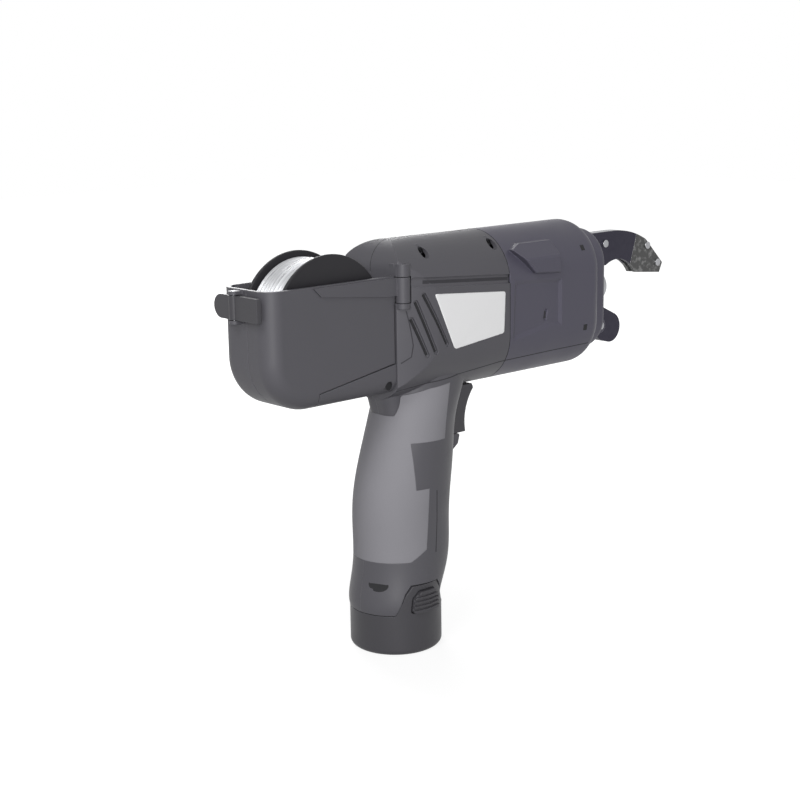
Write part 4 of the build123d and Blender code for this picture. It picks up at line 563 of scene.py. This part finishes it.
class GUN_OT_dress_metal(bpy.types.Operator):
    """Finishes the metal pieces: jaw, drive, feed, pins and screws"""

    bl_idname = "gun.dress_metal"
    bl_label = "Dress the metal pieces"

    def execute(self, context):
        # blackened sheet: dark and bluish, bare along its edges
        arm = blackened_steel("jaw blackened steel", "#2d2b38")
        dress(["arm_plate_right", "arm_plate_left", "lower_guide"], arm)
        # black oxide: darker, and less worn than the jaw
        screws = blackened_steel("screw black oxide steel", "#1b1b1e", wear=0.4)
        dress(["housing_screws", "ring_screws", "box_screw", "hinge_pin"], screws)
        # worn tip: grey, with bare flecks where wire rubs it
        cheeks = blackened_steel("tip worn steel", "#4a4a4a", wear=0.8, bare="#a8a8a8", bare_share=0.4)
        dress(["tip_cheeks"], cheeks)
        # ground steel: pale grey with fine lines
        ground = bright_steel("jaw ground steel", linear("#a4a5a8"), roughness=0.34)
        dress(["curl_guide", "twist_hook", "arm_rivets", "guide_pin", "latch_pin"], ground)
        # turned steel: brighter and smoother than the ground jaw
        turned = bright_steel("drive turned steel", linear("#a5a6aa"))
        dress(["twist_shaft", "shaft_bearing", "wire_guide", "feed_frame", "feed_pinion", "idler_gear",
               "feed_gear", "feed_roller", "pinch_roller", "reel_spindle", "battery_terminals"], turned)
        # zinc plate: greyer and duller than turned steel
        can = bright_steel("motor zinc-plated steel", linear("#8f9196"), roughness=0.42, line_mm=1.2)
        dress(["twist_motor", "feed_motor"], can)
        # cast aluminium: pale and matt, with a coarse skin
        cast = bright_steel("gear case cast aluminium", linear("#b0b1b3"), roughness=0.5, line_mm=2.0)
        dress(["gearbox"], cast)
        return {"FINISHED"}


class GUN_OT_wind_wire(bpy.types.Operator):
    """Winds the tie wire on the reel"""

    bl_idname = "gun.wind_wire"
    bl_label = "Wind the wire"

    def execute(self, context):
        colours, sizes = settings()
        low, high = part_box("wire_winding")
        core_low, core_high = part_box("wire_core")
        middle = (core_low + core_high) / 2
        radius = (high.z - low.z) / 2 - sizes.wire_diameter / 2
        width = core_high.y - core_low.y
        # drawn wire: bright, with darker streaks that follow the turns
        finish = bright_steel(
            "tie wire bright drawn steel", colours.wire, line_mm=0.9, stretch=(0.03, 1.0, 0.03), stain=0.7)
        turns = int((width - sizes.wire_diameter) / sizes.wire_pitch)
        points = []
        for i in range(turns * WIRE_STEPS + 1):
            turn = i / WIRE_STEPS
            angle = 2 * math.pi * turn
            wander = WIRE_WANDER * math.sin(WIRE_WANDER_PACE * turn) * sizes.wire_diameter
            across = core_low.y + sizes.wire_diameter / 2 + sizes.wire_pitch * turn + wander
            points.append(Vector((
                middle.x + radius * math.cos(angle), across, middle.z + radius * math.sin(angle))))
        turns_piece = wound_wire("wire_turns", points, sizes.wire_diameter, finish, "reel")
        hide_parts("wire_winding")
        self.bulk(core_low, core_high, middle, radius - sizes.wire_diameter * BULK_DROP, sizes, finish)
        return {"FINISHED"}

    def bulk(self, low, high, middle, radius, sizes, finish):
        """Lower layers of the winding, ridged turn by turn"""
        ridges = int((high.y - low.y) / sizes.wire_pitch)
        rings = []
        for i in range(2 * ridges + 1):
            across = low.y + (high.y - low.y) * i / (2 * ridges)
            rings.append((across, radius if i % 2 else radius - sizes.wire_diameter * RIDGE_DEPTH))
        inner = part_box("reel_spindle")
        bore = (inner[1].z - inner[0].z) / 2 + BULK_CLEARANCE
        rings.insert(0, (low.y, bore))
        rings.append((high.y, bore))
        verts = []
        faces = []
        for across, reach in rings:
            for k in range(BULK_STEPS):
                angle = 2 * math.pi * k / BULK_STEPS
                verts.append((middle.x + reach * math.cos(angle), across, middle.z + reach * math.sin(angle)))
        count = len(rings)
        for i in range(count):
            a = i * BULK_STEPS
            b = ((i + 1) % count) * BULK_STEPS
            for k in range(BULK_STEPS):
                n = (k + 1) % BULK_STEPS
                faces.append((a + k, b + k, b + n, a + n))
        piece = new_piece("wire_bulk", verts, faces, finish, "reel", smooth=True)
        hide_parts("wire_core")


class GUN_OT_fit_spring(bpy.types.Operator):
    """Winds the trigger's return spring as a fixed coil on the tool body"""

    bl_idname = "gun.fit_spring"
    bl_label = "Fit the trigger spring"

    def execute(self, context):
        _, sizes = settings()
        low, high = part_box("trigger_spring")
        middle = (low + high) / 2
        radius = (high.y - low.y) / 2 - sizes.spring_wire / 2
        length = high.x - low.x - sizes.spring_wire
        count = SPRING_TURNS * SPRING_STEPS
        points = []
        for i in range(count + 1):
            angle = 2 * math.pi * i / SPRING_STEPS
            points.append(Vector((
                low.x + sizes.spring_wire / 2 + length * i / count,
                middle.y + radius * math.cos(angle),
                middle.z + radius * math.sin(angle))))
        # music wire: bright and smooth
        finish = bright_steel("spring music wire", linear("#b4b5b9"), roughness=0.28)
        spring = wound_wire("return_spring", points, sizes.spring_wire, finish, "tool_body")
        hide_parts("trigger_spring")
        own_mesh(spring)
        return {"FINISHED"}


class GUN_OT_lay_label(bpy.types.Operator):
    """Lays the bare white plate on the right flank"""

    bl_idname = "gun.lay_label"
    bl_label = "Lay the label plate"

    def execute(self, context):
        colours, sizes = settings()
        trees = surface(["right_housing"])
        outline = []
        corners = [Vector((x * MM, z * MM)) for x, z in LABEL_CORNERS]
        for i, corner in enumerate(corners):
            back = (corners[i - 1] - corner).normalized()
            ahead = (corners[(i + 1) % len(corners)] - corner).normalized()
            for k in range(LABEL_CORNER_STEPS + 1):
                share = k / LABEL_CORNER_STEPS
                pull = back * (1 - share) ** 2 + ahead * share ** 2
                outline.append(corner + pull * sizes.label_round)
        count = len(outline)
        thickness = sizes.label_thickness
        rings = ((1.0, -STRIP_SINK), (1.0, LABEL_EDGE_RISE * thickness), (LABEL_EDGE_DRAW, thickness))
        centre = sum(outline, Vector((0.0, 0.0))) / count
        verts = []
        for scale, level in rings:
            for point in outline:
                place = centre + (point - centre) * scale
                ground, _ = land(trees, Vector((place.x, -LOOK_SIDE, place.y)), Vector((0, 1, 0)))
                verts.append(Vector((place.x, ground.y - level, place.y)))
        faces = [tuple(range(2 * count, 3 * count)), tuple(reversed(range(count)))]
        for ring in range(2):
            for k in range(count):
                n = (k + 1) % count
                a = ring * count
                faces.append((a + k, a + n, a + count + n, a + count + k))
        finish = label_vinyl("label white vinyl", colours.label)
        new_piece("label_plate", verts, faces, finish, "tool_body")
        return {"FINISHED"}


class GUN_OT_draw_seams(bpy.types.Operator):
    """Draws the shut lines and moulded lines that are too fine for the CAD, and painted shade in the small
    recesses
    """

    bl_idname = "gun.draw_seams"
    bl_label = "Draw the seams"

    def execute(self, context):
        _, sizes = settings()
        # painted shadow, dark with a trace of dust, for the shut lines, the collar's recess, the nose pockets
        # and the vents
        finish = shut_line("shut line shadow", "#141416", "#232326")
        self.nose_seam(sizes, finish)
        self.top_seam(sizes, finish)
        self.grip_seam(sizes, finish)
        self.collar_notch_shade(finish)
        self.nose_pocket_shades(finish)
        self.vent_shades(sizes, finish)
        self.flank_lines(sizes, shut_line("moulded line shade", "#29282c", "#343338"))
        return {"FINISHED"}

    def nose_seam(self, sizes, finish):
        """Ring where the nose cover meets the barrel"""
        low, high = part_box("nose_cover")
        trees = surface(["right_housing", "left_housing"])
        middle = Vector((low.x - NOSE_SEAM_GAP, 0.0, (low.z + high.z) / 2))
        line = []
        for k in range(NOSE_SEAM_STEPS):
            angle = 2 * math.pi * k / NOSE_SEAM_STEPS
            way = Vector((0.0, math.cos(angle), math.sin(angle)))
            line.append(land(trees, middle + way * LOOK_AXIS, -way))
        strip("nose_seam", line, sizes.seam_width, finish, "tool_body", closed=True)

    def top_seam(self, sizes, finish):
        """Parting line of the two halves along the barrel's top and back"""
        box_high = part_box("reel_box")[1]
        shell_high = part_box("right_housing")[1]
        trees = surface(["right_housing"])
        hub = Vector((FAN_FORWARD, -PARTING_OFF, box_high.z + FAN_RISE))
        line = []
        for degrees in range(180, 89, -FAN_STEP):
            angle = math.radians(degrees)
            way = Vector((math.cos(angle), 0.0, math.sin(angle)))
            line.append(land(trees, hub + way * LOOK_AXIS, -way))
        for x in range(TOP_START, int(shell_high.x / MM), TOP_STEP):
            line.append(land(trees, Vector((x * MM, -PARTING_OFF, LOOK_ABOVE)), Vector((0, 0, -1))))
        strip("top_seam", line, sizes.seam_width * PARTING_SHARE, finish, "tool_body")

    def grip_seam(self, sizes, finish):
        """Parting line down the front of the grip, under the trigger"""
        trigger_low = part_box("trigger")[0]
        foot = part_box("battery_base")[1]
        trees = surface(["right_housing"])
        line = []
        level = trigger_low.z - GRIP_UNDER_TRIGGER
        while level > foot.z - GRIP_BELOW_FOOT:
            line.append(land(trees, Vector((LOOK_SIDE, -PARTING_OFF, level)), Vector((-1, 0, 0))))
            level -= GRIP_STEP
        strip("grip_seam", line, sizes.seam_width * PARTING_SHARE, finish, "tool_body")

    def collar_notch_shade(self, finish):
        """Painted shade of a half-moon recess at the back of the collar over the battery, flat along its top
        """
        trees = surface(["right_housing", "left_housing"])
        first, last = COLLAR_NOTCH_TURN
        line = []
        widths = []
        for degrees in range(first, last + 1):
            angle = math.radians(degrees)
            way = Vector((math.cos(angle), math.sin(angle), 0.0))
            share = (2 * degrees - first - last) / (last - first)
            drop = COLLAR_NOTCH_DROP * max(COLLAR_NOTCH_TIP, math.sqrt(1 - share ** 2))
            level = (COLLAR_NOTCH_TOP - drop / 2) * MM
            line.append(land(trees, Vector((0, 0, level)) + way * LOOK_AXIS, -way))
            widths.append(drop * MM)
        strip("collar_notch_shade", line, widths, finish, "tool_body")

    def nose_pocket_shades(self, finish):
        """Painted shade of small screw pockets near the front edge of the nose, on both flanks"""
        trees = surface(["nose_cover"])
        for side, word in SIDES:
            for i, (x, z) in enumerate(NOSE_POCKETS):
                line = [
                    land(trees, Vector(((x + step) * MM, side * LOOK_SIDE, z * MM)), Vector((0, -side, 0)))
                    for step in (-POCKET_HALF, 0.0, POCKET_HALF)
                ]
                name = f"nose_pocket_shade_{word}_{i}"
                strip(name, line, POCKET_HEIGHT * MM, finish, "tool_body")

    def flank_lines(self, sizes, finish):
        """Painted shade along the moulded lines on the flanks and the grip, on the floors of the groove and
        the oval recess, and along the line under the door's hinge
        """
        trees = surface(["right_housing", "left_housing", "nose_cover"])
        for side, word in SIDES:
            self.flank_strip(f"lower_line_{word}", side, LOWER_LINE, trees, sizes.line_width, finish)
            self.flank_strip(f"finger_line_{word}", side, FINGER_LINE, trees, sizes.line_width, finish)
            self.flank_strip(f"groove_shade_{word}", side, GROOVE_LINE, trees, sizes.groove_shade, finish)
            self.flank_strip(f"oval_shade_{word}", side, OVAL_LINE, trees, sizes.vent_shade, finish)
        self.flank_strip("door_line", -1, DOOR_LINE, trees, sizes.line_width, finish)

    def vent_shades(self, sizes, finish):
        """Painted shade on the floors of the blind vents on both flanks"""
        trees = surface(["right_housing", "left_housing"])
        for side, word in SIDES:
            for i, corners in enumerate(VENT_LINES):
                self.flank_strip(f"vent_shade_{word}_{i}", side, corners, trees, sizes.vent_shade, finish)

    def flank_strip(self, name, side, corners, trees, width, finish):
        """Strip along a line of places on one flank"""
        route = along([Vector((x * MM, z * MM)) for x, z in corners], FLANK_STEP)
        line = [
            land(trees, Vector((point.x, side * LOOK_SIDE, point.y)), Vector((0, -side, 0)))
            for point in route
        ]
        strip(name, line, width, finish, "tool_body")


def look_matrix():
    """Camera's place and axes from its turn, tilt and roll."""
    turn = math.radians(CAMERA_TURN)
    tilt = math.radians(CAMERA_TILT)
    roll = math.radians(CAMERA_ROLL)
    back = Vector((-math.sin(turn) * math.cos(tilt), -math.cos(turn) * math.cos(tilt), math.sin(tilt)))
    right = Vector((math.cos(turn), -math.sin(turn), 0.0))
    up = back.cross(right)
    right_rolled = right * math.cos(roll) + up * math.sin(roll)
    up_rolled = up * math.cos(roll) - right * math.sin(roll)
    turned = Matrix((right_rolled, up_rolled, back)).transposed().to_4x4()
    return Matrix.Translation(CAMERA_PLACE) @ turned


def seen_directly(tree):
    """Socket that is 1 for what the camera, a reflection or clear glass sees, and 0 for light on the gun."""
    seen = add_node(tree, "ShaderNodeLightPath")
    clear = add_node(
        tree, "ShaderNodeMath",
        {0: seen.outputs["Is Camera Ray"], 1: seen.outputs["Is Transmission Ray"]}, operation="MAXIMUM")
    direct = add_node(
        tree, "ShaderNodeMath",
        {0: clear.outputs["Value"], 1: seen.outputs["Is Glossy Ray"]}, operation="MAXIMUM")
    return direct.outputs["Value"]


class GUN_OT_set_stage(bpy.types.Operator):
    """Sets the floor, the light and the camera"""

    bl_idname = "gun.set_stage"
    bl_label = "Set the stage"

    def execute(self, context):
        scene = context.scene
        scene.view_settings.view_transform = "Standard"
        self.floor()
        self.world(scene)
        for name, place, size, power in LAMPS:
            self.lamp(name, place, size, power)
        data = bpy.data.cameras.new("photo_view")
        data.sensor_width = CAMERA_SENSOR
        data.lens = CAMERA_LENS
        camera = bpy.data.objects.new("photo_view", data)
        camera.matrix_world = look_matrix()
        scene.collection.objects.link(camera)
        scene.camera = camera
        return {"FINISHED"}

    def floor(self):
        """Pale paper that keeps the gun's shadow"""
        half = FLOOR_HALF
        data = bpy.data.meshes.new("floor")
        data.from_pydata(
            [(-half, -half, 0), (half, -half, 0), (half, half, 0), (-half, half, 0)], [], [(0, 1, 2, 3)])
        material, tree = new_material("floor pale paper")
        matt = add_node(tree, "ShaderNodeBsdfDiffuse", {"Color": linear("#8c8c8c")})
        # where it is seen the paper is lifted to white, all of it away from the gun, so that only the
        # near shadow shows
        place = add_node(tree, "ShaderNodeTexCoord").outputs["Object"]
        away = add_node(tree, "ShaderNodeVectorMath", {0: place}, operation="LENGTH")
        fade = add_node(
            tree, "ShaderNodeMapRange",
            {"Value": away.outputs["Value"], "From Min": FLOOR_FADE[0], "From Max": FLOOR_FADE[1],
             "To Min": FLOOR_LIFT_NEAR, "To Max": 1.0}, interpolation_type="SMOOTHSTEP")
        lift = add_node(
            tree, "ShaderNodeMath", {0: seen_directly(tree), 1: fade.outputs["Result"]}, operation="MULTIPLY")
        white = add_node(
            tree, "ShaderNodeEmission", {"Color": WHITE, "Strength": lift.outputs["Value"]})
        paper = add_node(
            tree, "ShaderNodeAddShader", {0: matt.outputs["BSDF"], 1: white.outputs["Emission"]})
        add_node(tree, "ShaderNodeOutputMaterial", {"Surface": paper.outputs["Shader"]})
        data.materials.append(material)
        floor = bpy.data.objects.new("floor", data)
        bpy.context.scene.collection.objects.link(floor)

    def world(self, scene):
        """Weak even light, white where it is seen"""
        world = bpy.data.worlds.new("studio")
        world.use_nodes = True
        tree = world.node_tree
        tree.nodes.clear()
        light = add_node(tree, "ShaderNodeBackground", {"Color": WHITE, "Strength": WORLD_LIGHT})
        white = add_node(tree, "ShaderNodeBackground", {"Color": WHITE, "Strength": 1.0})
        mixed = add_node(
            tree, "ShaderNodeMixShader",
            {0: seen_directly(tree), 1: light.outputs["Background"], 2: white.outputs["Background"]})
        add_node(tree, "ShaderNodeOutputWorld", {"Surface": mixed.outputs["Shader"]})
        scene.world = world

    def lamp(self, name, place, size, power):
        """Square lamp that faces the gun"""
        data = bpy.data.lights.new(name, "AREA")
        data.size = size
        data.energy = power
        lamp = bpy.data.objects.new(name, data)
        lamp.location = place
        lamp.rotation_euler = (LAMP_AIM - Vector(place)).to_track_quat("-Z", "Y").to_euler()
        bpy.context.scene.collection.objects.link(lamp)


class GUN_PT_looks(bpy.types.Panel):
    """Steps that dress the gun, in order"""

    bl_idname = "GUN_PT_looks"
    bl_label = "Tying gun"
    bl_space_type = "VIEW_3D"
    bl_region_type = "UI"
    bl_category = "Tying gun"

    def draw(self, context):
        for operator in OPERATORS:
            self.layout.operator(operator.bl_idname)


OPERATORS = (
    GUN_OT_dress_shell,
    GUN_OT_dress_metal,
    GUN_OT_wind_wire,
    GUN_OT_fit_spring,
    GUN_OT_lay_label,
    GUN_OT_draw_seams,
    GUN_OT_set_stage,
)
CLASSES = (GunColours, GunSizes) + OPERATORS + (GUN_PT_looks,)


def register():
    for item in CLASSES:
        bpy.utils.register_class(item)
    bpy.types.Scene.gun_colours = bpy.props.PointerProperty(type=GunColours)
    bpy.types.Scene.gun_sizes = bpy.props.PointerProperty(type=GunSizes)


def unregister():
    del bpy.types.Scene.gun_sizes
    del bpy.types.Scene.gun_colours
    for item in reversed(CLASSES):
        bpy.utils.unregister_class(item)


def main():
    register()
    bpy.ops.gun.dress_shell()
    bpy.ops.gun.dress_metal()
    bpy.ops.gun.wind_wire()
    bpy.ops.gun.fit_spring()
    bpy.ops.gun.lay_label()
    bpy.ops.gun.draw_seams()
    bpy.ops.gun.set_stage()


if __name__ == "__main__":
    main()
